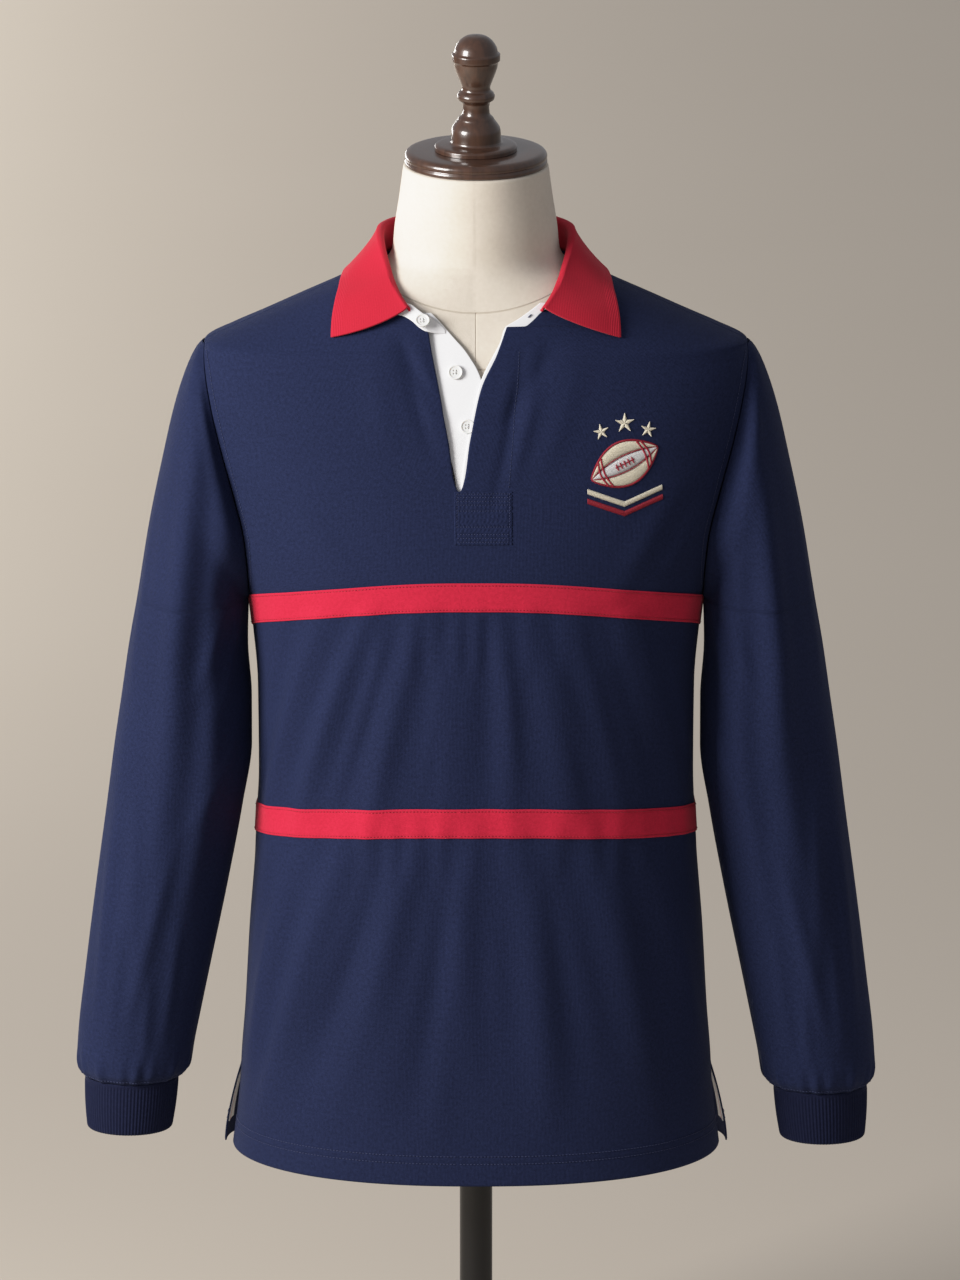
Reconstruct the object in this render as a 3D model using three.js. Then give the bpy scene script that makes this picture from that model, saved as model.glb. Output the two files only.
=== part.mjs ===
// A long-sleeved rugby shirt, worn by a limbless dress form on a short pole and a round base.
// Millimetres, +Z up, the front faces -Y, and the wearer's left is +X. The origin is the middle of the base's
// underside. Every cloth piece is a wall: a sheet of points on a skin, moved in by the cloth's thickness.
import * as THREE from "three";

// Driving sizes.
const CLOTH = 1.3; // heavy cotton jersey
const TWILL = 0.9; // white placket cloth, bands and tapes
const RIB_KNIT = 1.8; // collar and cuffs
const SEAM = 0.3; // space between two pieces that are sewn together
const HEM_SIDE = 305; // height of the hem at the side
const VENT_TOP = 374; // where the side seam ends and the vent starts
const UNDERARM = 786;
const SHOULDER_POINT = 1006.5;
const NECK_POINT = 1082; // where the shoulder seam meets the collar
const SLIT_FOOT = 901; // lowest point of the neck opening
const SLIT_X = -14; // the opening lies to the wearer's right of the middle
const BAND_HEIGHT = 25;
const CHEST_BAND_FOOT = 761; // side heights of the lower edges of the two bands
const WAIST_BAND_FOOT = 581.5;
const CUFF_TOP = 368;
const CUFF_FOOT = 322;
const SLEEVE_DROP = 8; // the wearer's left sleeve hangs this much longer
const FORM_FOOT = 345;
const NECK_TOP = 1159;
const CAP_RADIUS = 60;
const CAP_THICKNESS = 12;
const CAP_TILT = THREE.MathUtils.degToRad(3.2); // forward
const POLE_RADIUS = 14;
const BASE_RADIUS = 190;
const BASE_THICKNESS = 12;
const BUTTON_RADIUS = 6.2;
const BUTTON_THICKNESS = 2.4;
const STAND_DEPTH = 5.7; // of the button stand under the shirt's outer face, so that a button fits between

const DEG = Math.PI / 180;
const QUARTER = 90 * DEG;
const HALF = 180 * DEG;

// Side outline of the body: half its width at each height. Above the shoulder point it is the shoulder seam.
const SIDE = [
  { z: 280, half_width: 203 }, { z: 374, half_width: 201.5 }, { z: 430, half_width: 197.5 },
  { z: 500, half_width: 193.5 }, { z: 571, half_width: 188 }, { z: 642, half_width: 185 },
  { z: 712, half_width: 185.5 }, { z: 750, half_width: 188 }, { z: 786, half_width: 192 },
  { z: 844, half_width: 209 }, { z: 882, half_width: 219.5 }, { z: 922, half_width: 231 },
  { z: 958, half_width: 238 }, { z: 983, half_width: 238.5 }, { z: 1000, half_width: 232.8 },
  { z: 1006.5, half_width: 229.5 }, { z: 1016, half_width: 211 }, { z: 1028, half_width: 184 },
  { z: 1044, half_width: 149 }, { z: 1060, half_width: 114 }, { z: 1070, half_width: 94 },
  { z: 1078, half_width: 80.5 }, { z: 1084, half_width: 73.5 }, { z: 1095, half_width: 66 },
];

// Depth of the body in front of and behind the side line, where that line lies, and how square the section is.
const DEPTH = [
  { z: 280, front: 124, back: 118, side_y: 0, power: 2.35 },
  { z: 430, front: 125, back: 120, side_y: 0, power: 2.35 },
  { z: 600, front: 125, back: 121, side_y: 0, power: 2.3 },
  { z: 712, front: 125, back: 125, side_y: 0, power: 2.3 },
  { z: 786, front: 124, back: 131, side_y: 1, power: 2.3 },
  { z: 844, front: 121, back: 135, side_y: 2, power: 2.3 },
  { z: 900, front: 115.5, back: 137, side_y: 4, power: 2.3 },
  { z: 950, front: 108, back: 132, side_y: 6, power: 2.3 },
  { z: 1006.5, front: 93, back: 111, side_y: 8, power: 2.25 },
  { z: 1040, front: 80.5, back: 87, side_y: 9, power: 2.2 },
  { z: 1060, front: 74, back: 68, side_y: 9, power: 2.2 },
  { z: 1084, front: 66, back: 50, side_y: 9, power: 2.1 },
  { z: 1095, front: 62, back: 46, side_y: 9, power: 2 },
];

// Where the armhole seam lies across the body, at each height.
const ARMHOLE = [
  { z: 786, x: 192 }, { z: 800, x: 192.3 }, { z: 844, x: 195.5 }, { z: 882, x: 204 }, { z: 922, x: 215 },
  { z: 958, x: 223.5 }, { z: 983, x: 228 }, { z: 1000, x: 229.6 }, { z: 1006.5, x: 229.5 },
];

// How far the cloth's level line stands higher at the middle of the front and of the back than at the side.
const RISE = [
  { side_z: 280, front: -5, back: -2 }, { side_z: 305, front: -5, back: -2 }, { side_z: 374, front: 2, back: 2 },
  { side_z: 450, front: 11, back: 6 }, { side_z: 582, front: 24, back: 12 }, { side_z: 607, front: 24.5, back: 13 },
  { side_z: 761, front: 39.5, back: 21 }, { side_z: 786, front: 39, back: 22 },
];
const RISE_POWER = 1.35;

// Soft folds: the line each one follows, as an angle from the middle of the front at its top and its foot.
const FOLDS = [
  { top_angle: -45, top_z: 796, foot_angle: -63, foot_z: 610, half_width: 7, height: 4.2 },
  { top_angle: -29, top_z: 800, foot_angle: -39, foot_z: 570, half_width: 5.5, height: 2.6 },
  { top_angle: -9, top_z: 790, foot_angle: -13, foot_z: 600, half_width: 4.5, height: 1.9 },
  { top_angle: 11, top_z: 800, foot_angle: 13, foot_z: 600, half_width: 4.5, height: 2.3 },
  { top_angle: 27, top_z: 800, foot_angle: 39, foot_z: 590, half_width: 6, height: 3 },
  { top_angle: 49, top_z: 800, foot_angle: 61, foot_z: 620, half_width: 6, height: 3.2 },
  { top_angle: -51, top_z: 590, foot_angle: -64, foot_z: 400, half_width: 7, height: 4 },
  { top_angle: -27, top_z: 600, foot_angle: -37, foot_z: 340, half_width: 7, height: 3.6 },
  { top_angle: -5, top_z: 600, foot_angle: -3, foot_z: 380, half_width: 6, height: 2.5 },
  { top_angle: 21, top_z: 600, foot_angle: 27, foot_z: 345, half_width: 7, height: 3 },
  { top_angle: 47, top_z: 610, foot_angle: 59, foot_z: 385, half_width: 7, height: 3.6 },
  { top_angle: -40, top_z: 1030, foot_angle: -17, foot_z: 965, half_width: 4, height: -2.4 },
  { top_angle: 38, top_z: 1026, foot_angle: 13, foot_z: 950, half_width: 5, height: -3 },
  { top_angle: 127, top_z: 900, foot_angle: 118, foot_z: 560, half_width: 7, height: 4 },
  { top_angle: 158, top_z: 820, foot_angle: 153, foot_z: 430, half_width: 7, height: 4.2 },
  { top_angle: 183, top_z: 780, foot_angle: 186, foot_z: 380, half_width: 6, height: 3.4 },
  { top_angle: 207, top_z: 840, foot_angle: 211, foot_z: 450, half_width: 7, height: 4 },
  { top_angle: 234, top_z: 900, foot_angle: 243, foot_z: 560, half_width: 7, height: 4 },
];

// Height of the neckline on the body at each angle from the front.
const NECKLINE = [
  { angle: 0, z: 1033 }, { angle: 17, z: 1034.3 }, { angle: 26.6, z: 1034.5 }, { angle: 31, z: 1038.5 },
  { angle: 36, z: 1045 }, { angle: 42, z: 1050.5 }, { angle: 48, z: 1055.5 }, { angle: 60, z: 1063 },
  { angle: 72, z: 1069 }, { angle: 90, z: 1075 }, { angle: 102, z: 1078 }, { angle: 118, z: 1078.5 },
  { angle: 150, z: 1076 }, { angle: 180, z: 1074.5 },
];

// The rows of the upper front: where each one starts at the side, and where it ends at the opening or neckline.
// Up to the corner the end lies on the slit, given by x. From there on it lies on the neckline, given by an angle.
const RIGHT_FRONT_ROWS = [
  { side_z: 786, end_z: 826, end_x: -14 }, { side_z: 838, end_z: 870, end_x: -14 },
  { side_z: 880, end_z: 901, end_x: -14 }, { side_z: 925, end_z: 944, end_x: -23.2 },
  { side_z: 968, end_z: 985, end_x: -31.5 }, { side_z: 1006.5, end_z: 1016, end_x: -37.8 },
  { side_z: 1024, end_angle: 26.6 }, { side_z: 1041, end_angle: 36 }, { side_z: 1056, end_angle: 48 },
  { side_z: 1067, end_angle: 65 }, { side_z: 1074, end_angle: 83 },
];
const LEFT_FRONT_ROWS = [
  { side_z: 786, end_z: 826, end_x: -14 }, { side_z: 838, end_z: 870, end_x: -14 },
  { side_z: 880, end_z: 901, end_x: -14 }, { side_z: 925, end_z: 944, end_x: -4.8 },
  { side_z: 968, end_z: 985, end_x: 4.3 }, { side_z: 1006.5, end_z: 1012, end_x: 17.3 },
  { side_z: 1024, end_angle: 17.5 }, { side_z: 1041, end_angle: 32 }, { side_z: 1056, end_angle: 47 },
  { side_z: 1067, end_angle: 65 }, { side_z: 1074, end_angle: 83 },
];
const BACK_ROWS = [
  { side_z: 786, end_z: 808, end_x: 0 }, { side_z: 838, end_z: 858, end_x: 0 },
  { side_z: 880, end_z: 899, end_x: 0 }, { side_z: 925, end_z: 942, end_x: 0 },
  { side_z: 968, end_z: 982, end_x: 0 }, { side_z: 1006.5, end_z: 1018, end_x: 0 },
  { side_z: 1024, end_z: 1037, end_x: 0 }, { side_z: 1041, end_z: 1056, end_x: 0 },
  { side_z: 1056, end_angle: 180 }, { side_z: 1067, end_angle: 135 }, { side_z: 1074, end_angle: 98 },
];

// Sections of a sleeve: its outer and inner side, half its depth and where its middle lies. Above the underarm
// the inner side is inside the body, and only the part outside the armhole is cloth.
const SLEEVE = [
  { z: 368, outer: 334.5, inner: 254.5, half_depth: 37.5, middle_y: -12 },
  { z: 376, outer: 340, inner: 246.5, half_depth: 43.5, middle_y: -12 },
  { z: 386, outer: 341.6, inner: 243.5, half_depth: 45, middle_y: -12 },
  { z: 405, outer: 340.5, inner: 239.5, half_depth: 46, middle_y: -11 },
  { z: 465, outer: 333.5, inner: 227, half_depth: 49, middle_y: -9 },
  { z: 536, outer: 324.3, inner: 212, half_depth: 52.5, middle_y: -6 },
  { z: 607, outer: 314.5, inner: 198.5, half_depth: 56, middle_y: -4 },
  { z: 660, outer: 307.5, inner: 190.6, half_depth: 58.5, middle_y: -2 },
  { z: 700, outer: 301.5, inner: 190.6, half_depth: 60.5, middle_y: -1 },
  { z: 747, outer: 294.5, inner: 193.6, half_depth: 63, middle_y: 0 },
  { z: 786, outer: 287.5, inner: 192.6, half_depth: 65, middle_y: 1 },
  { z: 850, outer: 277, inner: 190, half_depth: 66, middle_y: 3 },
  { z: 903, outer: 266, inner: 190, half_depth: 63, middle_y: 5 },
  { z: 956, outer: 253.5, inner: 199, half_depth: 52, middle_y: 7 },
  { z: 990, outer: 241.5, inner: 212, half_depth: 40, middle_y: 8 },
  { z: 1000, outer: 236, inner: 218, half_depth: 30, middle_y: 8 },
  { z: 1006.5, outer: 230.6, inner: 224, half_depth: 12, middle_y: 8 },
];
const SLEEVE_FOLDS = [
  { top_angle: 112, top_z: 930, foot_angle: 96, foot_z: 640, half_width: 13, height: 3.5 },
  { top_angle: 58, top_z: 800, foot_angle: 70, foot_z: 470, half_width: 14, height: 3 },
  { top_angle: 150, top_z: 700, foot_angle: 128, foot_z: 400, half_width: 14, height: 2.5 },
  { top_angle: 235, top_z: 880, foot_angle: 250, foot_z: 600, half_width: 14, height: 3.2 },
  { top_angle: 300, top_z: 720, foot_angle: 285, foot_z: 420, half_width: 14, height: 3 },
];
const CUFF = { top_outer: 334.5, top_inner: 254.5, foot_outer: 332.8, foot_inner: 260.5, top_depth: 37.5, foot_depth: 34 };

// The white button stand under the wearer's right edge, and the facing inside the left edge: x of each side edge.
const BUTTON_STAND = [
  { z: 893, from: -17, to: 22 }, { z: 904.5, from: -17, to: 21 }, { z: 944, from: -26, to: 17 },
  { z: 975, from: -32, to: 11 }, { z: 993, from: -36, to: 4.7 }, { z: 1002, from: -38, to: 0.8 },
  { z: 1010, from: -40, to: -4.3 }, { z: 1017, from: -41.5, to: -9.3 }, { z: 1026, from: -43.5, to: -17.9 },
  { z: 1033, from: -46, to: -24.7 }, { z: 1040, from: -50.5, to: -31.5 }, { z: 1046, from: -53, to: -38 },
];
const FACING = [
  { z: 893, from: -12, to: 8 }, { z: 904.5, from: -12, to: 9 }, { z: 944, from: -6.8, to: 15 },
  { z: 985, from: 2, to: 24 }, { z: 993, from: 4.6, to: 27 }, { z: 1012, from: 14.5, to: 35 },
  { z: 1023, from: 20.6, to: 40 }, { z: 1034, from: 24.4, to: 45 }, { z: 1040, from: 33.5, to: 49 },
  { z: 1049, from: 46, to: 53 },
];
const STAND_LEVELS = [893, 904.5, 925, 944, 960, 975, 985, 993, 1002, 1010, 1017, 1026, 1033, 1040, 1046];
const FACING_LEVELS = [893, 904.5, 925, 944, 965, 985, 993, 1002, 1012, 1023, 1034, 1040, 1049];
const BUTTONS = [{ x: -17.3, z: 999 }, { x: -7, z: 955 }];

// The collar from its front end (0) to the middle of the back (1): the top of its roll and its outer edge, each by
// angle from the front and distance from the neck's middle. clear is how far the edge lies off the body's skin.
const COLLAR = [
  { along: 0, roll_angle: 36, roll_radius: 93, roll_z: 1051, edge_angle: 58.5, edge_radius: 143, clear: 3.4 },
  { along: 0.08, roll_angle: 42, roll_radius: 90.5, roll_z: 1058, edge_angle: 62, edge_radius: 137.5, clear: 3 },
  { along: 0.2, roll_angle: 54, roll_radius: 84, roll_z: 1070.5, edge_angle: 68, edge_radius: 128, clear: 3 },
  { along: 0.32, roll_angle: 67, roll_radius: 79.5, roll_z: 1084, edge_angle: 75, edge_radius: 120, clear: 3 },
  { along: 0.45, roll_angle: 84, roll_radius: 77.5, roll_z: 1098, edge_angle: 87, edge_radius: 114, clear: 3 },
  { along: 0.58, roll_angle: 104, roll_radius: 77, roll_z: 1103.5, edge_angle: 104, edge_radius: 111, clear: 4 },
  { along: 0.78, roll_angle: 142, roll_radius: 74, roll_z: 1104, edge_angle: 142, edge_radius: 98, clear: 8 },
  { along: 1, roll_angle: 180, roll_radius: 72, roll_z: 1104, edge_angle: 180, edge_radius: 88, clear: 11 },
];
const ROLL_RADIUS = 4; // of the turn at the top of the collar

// The dress form: its sections up to the shoulders, then its neck.
const FORM = [
  { z: 345, half_width: 163, front: 101, back: 98, middle_y: 0, power: 2.2 },
  { z: 420, half_width: 170, front: 106, back: 108, middle_y: 0, power: 2.2 },
  { z: 520, half_width: 163, front: 101, back: 104, middle_y: 0, power: 2.2 },
  { z: 620, half_width: 148, front: 95, back: 92, middle_y: 0, power: 2.2 },
  { z: 700, half_width: 154, front: 101, back: 98, middle_y: 0, power: 2.2 },
  { z: 780, half_width: 166, front: 110, back: 114, middle_y: 1, power: 2.2 },
  { z: 840, half_width: 174, front: 112, back: 121, middle_y: 2, power: 2.2 },
  { z: 900, half_width: 181, front: 105.5, back: 124, middle_y: 4, power: 2.2 },
  { z: 950, half_width: 190, front: 98.5, back: 118, middle_y: 6, power: 2.2 },
  { z: 990, half_width: 199, front: 89, back: 105, middle_y: 8, power: 2.2 },
  { z: 1006, half_width: 203, front: 84, back: 98, middle_y: 8, power: 2.2 },
  { z: 1014, half_width: 203, front: 81, back: 93, middle_y: 8.5, power: 2.2 },
  { z: 1020, half_width: 196, front: 79, back: 89, middle_y: 9, power: 2.2 },
  { z: 1028, half_width: 179.5, front: 76, back: 83, middle_y: 9, power: 2.2 },
  { z: 1044, half_width: 144.6, front: 70.5, back: 71, middle_y: 9, power: 2.15 },
  { z: 1058, half_width: 114, front: 67, back: 62, middle_y: 9, power: 2.1 },
  { z: 1068, half_width: 92, front: 65, back: 52, middle_y: 9, power: 2.05 },
  { z: 1076, half_width: 77, front: 63.5, back: 49, middle_y: 8.5, power: 2 },
  { z: 1084, half_width: 71, front: 62.5, back: 50, middle_y: 8, power: 2 },
  { z: 1107, half_width: 68.4, front: 62, back: 55, middle_y: 5, power: 2 },
  { z: 1129, half_width: 65, front: 61, back: 60, middle_y: 2.5, power: 2 },
  { z: 1159, half_width: 61, front: 60, back: 60, middle_y: 0, power: 2 },
];

// Turned wood on the neck cap, as radii at heights above the cap.
const FINIAL = [
  { r: 34.7, h: 0 }, { r: 34.7, h: 3 }, { r: 32.5, h: 5 }, { r: 22, h: 6 }, { r: 21, h: 8.5 }, { r: 21, h: 13 },
  { r: 20.5, h: 18 }, { r: 18.5, h: 22 }, { r: 15.5, h: 26 }, { r: 14.8, h: 27.5 }, { r: 11.8, h: 31 },
  { r: 11.2, h: 36 }, { r: 12, h: 41 }, { r: 15.3, h: 43.5 }, { r: 15.9, h: 46.5 }, { r: 14.5, h: 49.5 },
  { r: 12.3, h: 51.5 }, { r: 12, h: 54 }, { r: 14.5, h: 61 }, { r: 17.8, h: 70 }, { r: 19, h: 75.5 },
  { r: 20.4, h: 77.5 }, { r: 20.4, h: 82 }, { r: 18.6, h: 84 }, { r: 17.5, h: 88 }, { r: 13, h: 94.5 },
  { r: 7, h: 98 },
];

// Smooth value of a table's column between its rows, by a cubic through each pair of rows that never overshoots.
function smooth(table, key, column, at) {
  const last = table.length - 1;
  if (at <= table[0][key]) return table[0][column];
  if (at >= table[last][key]) return table[last][column];
  let i = 0;
  while (table[i + 1][key] < at) i++;
  const step = (k) => table[k + 1][key] - table[k][key];
  const slope = (k) => (table[k + 1][column] - table[k][column]) / step(k);
  const tangent = (k) => {
    if (k === 0) return slope(0);
    if (k === last) return slope(last - 1);
    const before = slope(k - 1);
    const after = slope(k);
    if (before * after <= 0) return 0;
    const near = 2 * step(k) + step(k - 1);
    const far = step(k) + 2 * step(k - 1);
    return (near + far) / (near / before + far / after);
  };
  const h = step(i);
  const t = (at - table[i][key]) / h;
  const rise = table[i][column] * (1 + 2 * t) * (1 - t) ** 2 + table[i + 1][column] * t * t * (3 - 2 * t);
  return rise + h * tangent(i) * t * (1 - t) ** 2 - h * tangent(i + 1) * t * t * (1 - t);
}

// Straight-line value of a table's column at a row number with a fraction.
function between(table, column, row) {
  const i = Math.min(Math.floor(row), table.length - 2);
  return THREE.MathUtils.lerp(table[i][column], table[i + 1][column], row - i);
}

// Height of all the folds of a table at one place: each is a bell across its line, fading out at both ends.
function foldHeight(folds, angle, z) {
  let sum = 0;
  for (const fold of folds) {
    const along = (fold.top_z - z) / (fold.top_z - fold.foot_z);
    const fade = Math.sin(HALF * THREE.MathUtils.clamp(along, 0, 1)) ** 0.8;
    const line = THREE.MathUtils.lerp(fold.top_angle, fold.foot_angle, THREE.MathUtils.clamp(along, 0, 1));
    let aside = (angle / DEG - line) % 360;
    if (aside > 180) aside -= 360;
    if (aside < -180) aside += 360;
    sum += fold.height * fade * Math.exp(-((aside / fold.half_width) ** 2));
  }
  return sum;
}

// Distance from the middle to a rounded-box section, at an angle from the front.
function sectionRadius(angle, halfWidth, halfDepth, power) {
  const across = Math.abs(Math.sin(angle) / halfWidth) ** power;
  const along = Math.abs(Math.cos(angle) / halfDepth) ** power;
  return (across + along) ** (-1 / power);
}

// A skin moved out along its own normal, which comes from two short steps on the skin.
function lifted(skin, u, v, lift, du, dv) {
  const here = skin(u, v);
  if (!lift) return here;
  const alongU = skin(u + du, v).sub(skin(u - du, v));
  const alongV = skin(u, v + dv).sub(skin(u, v - dv));
  return here.addScaledVector(alongU.cross(alongV).normalize(), lift);
}

function bodyRadius(angle, z) {
  const depth = smooth(DEPTH, "z", Math.cos(angle) >= 0 ? "front" : "back", z);
  return sectionRadius(angle, smooth(SIDE, "z", "half_width", z), depth, smooth(DEPTH, "z", "power", z));
}

// The edges of each vent stand off to the side, the back's more, so that its inner face shows from the front.
function ventFlare(angle, z) {
  const down = THREE.MathUtils.clamp((VENT_TOP - z) / (VENT_TOP - HEM_SIDE), 0, 1);
  const fromEdge = Math.asin(Math.min(1, Math.abs(Math.cos(angle))));
  const reach = Math.exp(-((fromEdge / (15 * DEG)) ** 2));
  return reach * (Math.cos(angle) < 0 ? 13 * (1 - (1 - down) ** 1.6) : 6 * down ** 1.4);
}

// Outer skin of the shirt's body, by angle from the middle of the front and height.
function bodySkin(angle, z) {
  const radius = bodyRadius(angle, z) + foldHeight(FOLDS, angle, z) + ventFlare(angle, z);
  return new THREE.Vector3(radius * Math.sin(angle), smooth(DEPTH, "z", "side_y", z) - radius * Math.cos(angle), z);
}
const onBody = (angle, z, lift = 0) => lifted(bodySkin, angle, z, lift, 0.4 * DEG, 0.5);

// Height of the plain body's skin under a point of the plan, on the sloping shoulders.
function heightUnder(angle, radius) {
  let low = UNDERARM + 100;
  let high = 1094;
  for (let i = 0; i < 40; i++) {
    const middle = (low + high) / 2;
    if (bodyRadius(angle, middle) > radius) low = middle;
    else high = middle;
  }
  return (low + high) / 2;
}
const necklineZ = (angle) => smooth(NECKLINE, "angle", "z", Math.abs(angle / DEG));
const necklineRadius = (angle) => bodyRadius(angle, necklineZ(angle));

// Height that keeps a point of the plan a given distance off the body's skin.
function heightClear(angle, radius, clear) {
  const under = heightUnder(angle, radius);
  const slope = heightUnder(angle, radius - 1) - under;
  return under + clear * Math.hypot(1, slope);
}

// Angle at which a section passes a given x.
function angleAtX(x, z, back) {
  const halfWidth = smooth(SIDE, "z", "half_width", z);
  const power = smooth(DEPTH, "z", "power", z);
  const depth = smooth(DEPTH, "z", back ? "back" : "front", z);
  const share = Math.min(Math.abs(x) / halfWidth, 1);
  return Math.atan2(Math.abs(x), depth * (1 - share ** power) ** (1 / power)) * Math.sign(x || 1);
}

// Angle of the outer edge of a front or back panel, from its own middle: side seam, armhole or shoulder seam.
function sideAngle(z, back) {
  if (z <= UNDERARM || z >= SHOULDER_POINT) return QUARTER;
  return angleAtX(smooth(ARMHOLE, "z", "x", z), z, back);
}

// One solid from sheets of points. Each sheet gives a point by row, column and lift, and points that fall together
// are joined, so that two sheets share a middle line. Open edges are closed between the outer and inner points.
function wall(sheets, outerLift, innerLift) {
  const outer = [];
  const inner = [];
  const found = new Map();
  const triangles = [];
  const indexOf = (sheet, i, j) => {
    const point = sheet.at(i, j, outerLift);
    const key = [point.x, point.y, point.z].map((c) => Math.round(c * 200)).join();
    if (!found.has(key)) {
      found.set(key, outer.length);
      outer.push(point);
      inner.push(sheet.at(i, j, innerLift));
    }
    return found.get(key);
  };
  for (const sheet of sheets) {
    for (let i = 0; i + 1 < sheet.rows; i++) {
      for (let j = 0; j + 1 < sheet.columns; j++) {
        const quad = [indexOf(sheet, i, j), indexOf(sheet, i, j + 1), indexOf(sheet, i + 1, j + 1), indexOf(sheet, i + 1, j)];
        if (sheet.flip) quad.reverse();
        for (const [a, b, c] of [[quad[0], quad[1], quad[2]], [quad[0], quad[2], quad[3]]]) {
          if (a !== b && b !== c && a !== c) triangles.push([a, b, c]);
        }
      }
    }
  }
  const count = outer.length;
  const edges = new Set(triangles.flatMap(([a, b, c]) => [`${a},${b}`, `${b},${c}`, `${c},${a}`]));
  const faces = triangles.flatMap(([a, b, c]) => [a, b, c, count + c, count + b, count + a]);
  for (const edge of edges) {
    const [a, b] = edge.split(",").map(Number);
    if (!edges.has(`${b},${a}`)) faces.push(b, a, count + a, b, count + a, count + b);
  }
  const geometry = new THREE.BufferGeometry().setFromPoints([...outer, ...inner]);
  return geometry.setIndex(faces);
}

// Sheet of half a panel, from its outer edge to its end line. side is 1 for the wearer's left and -1 for the right.
// rowAt gives each row's side height, end height and end angle, all from the panel's own middle.
const SHARES = [0, 0.032, 0.1, 0.18, 0.27, 0.36, 0.45, 0.54, 0.63, 0.72, 0.81, 0.905, 1];
function halfPanel(side, back, rowAt, rows, shares = SHARES) {
  const at = (i, j, lift) => {
    const row = rowAt(i);
    const start = row.startAngle * side;
    const share = shares[j];
    const own = THREE.MathUtils.lerp(start, row.endAngle, share);
    const fall = (angle) => (1 - Math.cos(angle)) ** RISE_POWER;
    const way = (fall(own) - fall(row.endAngle)) / (fall(start) - fall(row.endAngle) || 1);
    const z = THREE.MathUtils.lerp(row.endZ, row.sideZ, THREE.MathUtils.clamp(way, 0, 1));
    return onBody(back ? HALF - own : own, z, lift);
  };
  return { rows, columns: shares.length, at, flip: (side > 0) !== back };
}

// A seam's half space, as an angle at the panel's edge.
const seamAngle = (z) => (SEAM / 2 + 0.05) / smooth(SIDE, "z", "half_width", z);

// Rows of a panel below the underarm, by side height.
function lowerRow(sideZ, back) {
  const endX = back ? 0 : SLIT_X;
  const endZ = sideZ + smooth(RISE, "side_z", back ? "back" : "front", sideZ);
  const endAngle = back ? 0 : angleAtX(endX, endZ, false);
  const open = sideZ < VENT_TOP && !back ? 1.4 * DEG : 0;
  return { sideZ, endZ, startAngle: QUARTER - seamAngle(sideZ) - open, endAngle };
}

// Rows of a panel above the underarm, from a table, at a row number with a fraction.
function upperRow(table, row, back, side) {
  const sideZ = between(table, "side_z", row);
  const seam = sideZ <= UNDERARM || sideZ >= SHOULDER_POINT ? seamAngle(sideZ) : 1.6 * seamAngle(sideZ);
  const startAngle = sideAngle(sideZ, back) - seam;
  const neckRow = table.findIndex((entry) => "end_angle" in entry);
  if (row >= neckRow) {
    const endAngle = between(table, "end_angle", row) * DEG;
    const front = back ? endAngle : Math.min(endAngle, QUARTER);
    return { sideZ, startAngle, endAngle: (back ? HALF - endAngle : front) * side, endZ: necklineZ(endAngle) };
  }
  const corner = table[neckRow];
  const cornerZ = necklineZ(corner.end_angle * DEG);
  const cornerX = necklineRadius(corner.end_angle * DEG) * Math.sin(corner.end_angle * DEG) * side;
  const ends = table.map((entry) => ("end_x" in entry ? entry : { end_z: cornerZ, end_x: back ? 0 : cornerX }));
  const endZ = between(ends, "end_z", row);
  const endX = between(ends, "end_x", row);
  return { sideZ, startAngle, endZ, endAngle: endX === 0 ? 0 : angleAtX(endX, endZ, back) };
}

const LOWER_LEVELS = [305, 322, 348, 374, 420, 475, 530, 581.5, 606.5, 655, 710, 761, 786];
const UPPER_STEPS = [0.15, 0.5, 1, 1.5, 2, 2.5, 3, 3.5, 4, 4.5, 5, 5.5, 6, 6.5, 7, 7.5, 8, 8.5, 9, 10];

// Half a panel from the hem to the neck point.
function panelHalf(side, back, table) {
  const rowAt = (i) => {
    if (i < LOWER_LEVELS.length) return lowerRow(LOWER_LEVELS[i], back);
    return upperRow(table, UPPER_STEPS[i - LOWER_LEVELS.length], back, side);
  };
  return halfPanel(side, back, rowAt, LOWER_LEVELS.length + UPPER_STEPS.length);
}
function frontPanel() {
  return wall([panelHalf(-1, false, RIGHT_FRONT_ROWS), panelHalf(1, false, LEFT_FRONT_ROWS)], 0, -CLOTH);
}
function backPanel() {
  return wall([panelHalf(-1, true, BACK_ROWS), panelHalf(1, true, BACK_ROWS)], 0, -CLOTH);
}

// A band sewn on a panel: its points are the panel's, moved out.
function band(footZ, back) {
  const levels = [footZ, footZ + BAND_HEIGHT];
  const halves = [-1, 1].map((side) => halfPanel(side, back, (i) => lowerRow(levels[i], back), 2));
  return wall(halves, SEAM + TWILL, SEAM);
}

// The tape that faces the back's edge of a vent, on the inner face, from the vent's top to the turned hem.
function ventTape(side) {
  const levels = [322, 348, 374];
  const strip = halfPanel(side, true, (i) => lowerRow(levels[i], true), levels.length, SHARES.slice(0, 2));
  return wall([strip], -CLOTH - SEAM, -CLOTH - SEAM - TWILL);
}

// A strip that lies on the body between two edges given by height, as a table of z, from and to.
function strip(table, levels, columns, lift, thickness) {
  const at = (i, j, moved) => {
    const z = levels[i];
    const x = THREE.MathUtils.lerp(smooth(table, "z", "from", z), smooth(table, "z", "to", z), j / (columns - 1));
    return onBody(angleAtX(x, z, false), z, moved);
  };
  return wall([{ rows: levels.length, columns, at, flip: false }], lift, lift - thickness);
}

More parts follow.
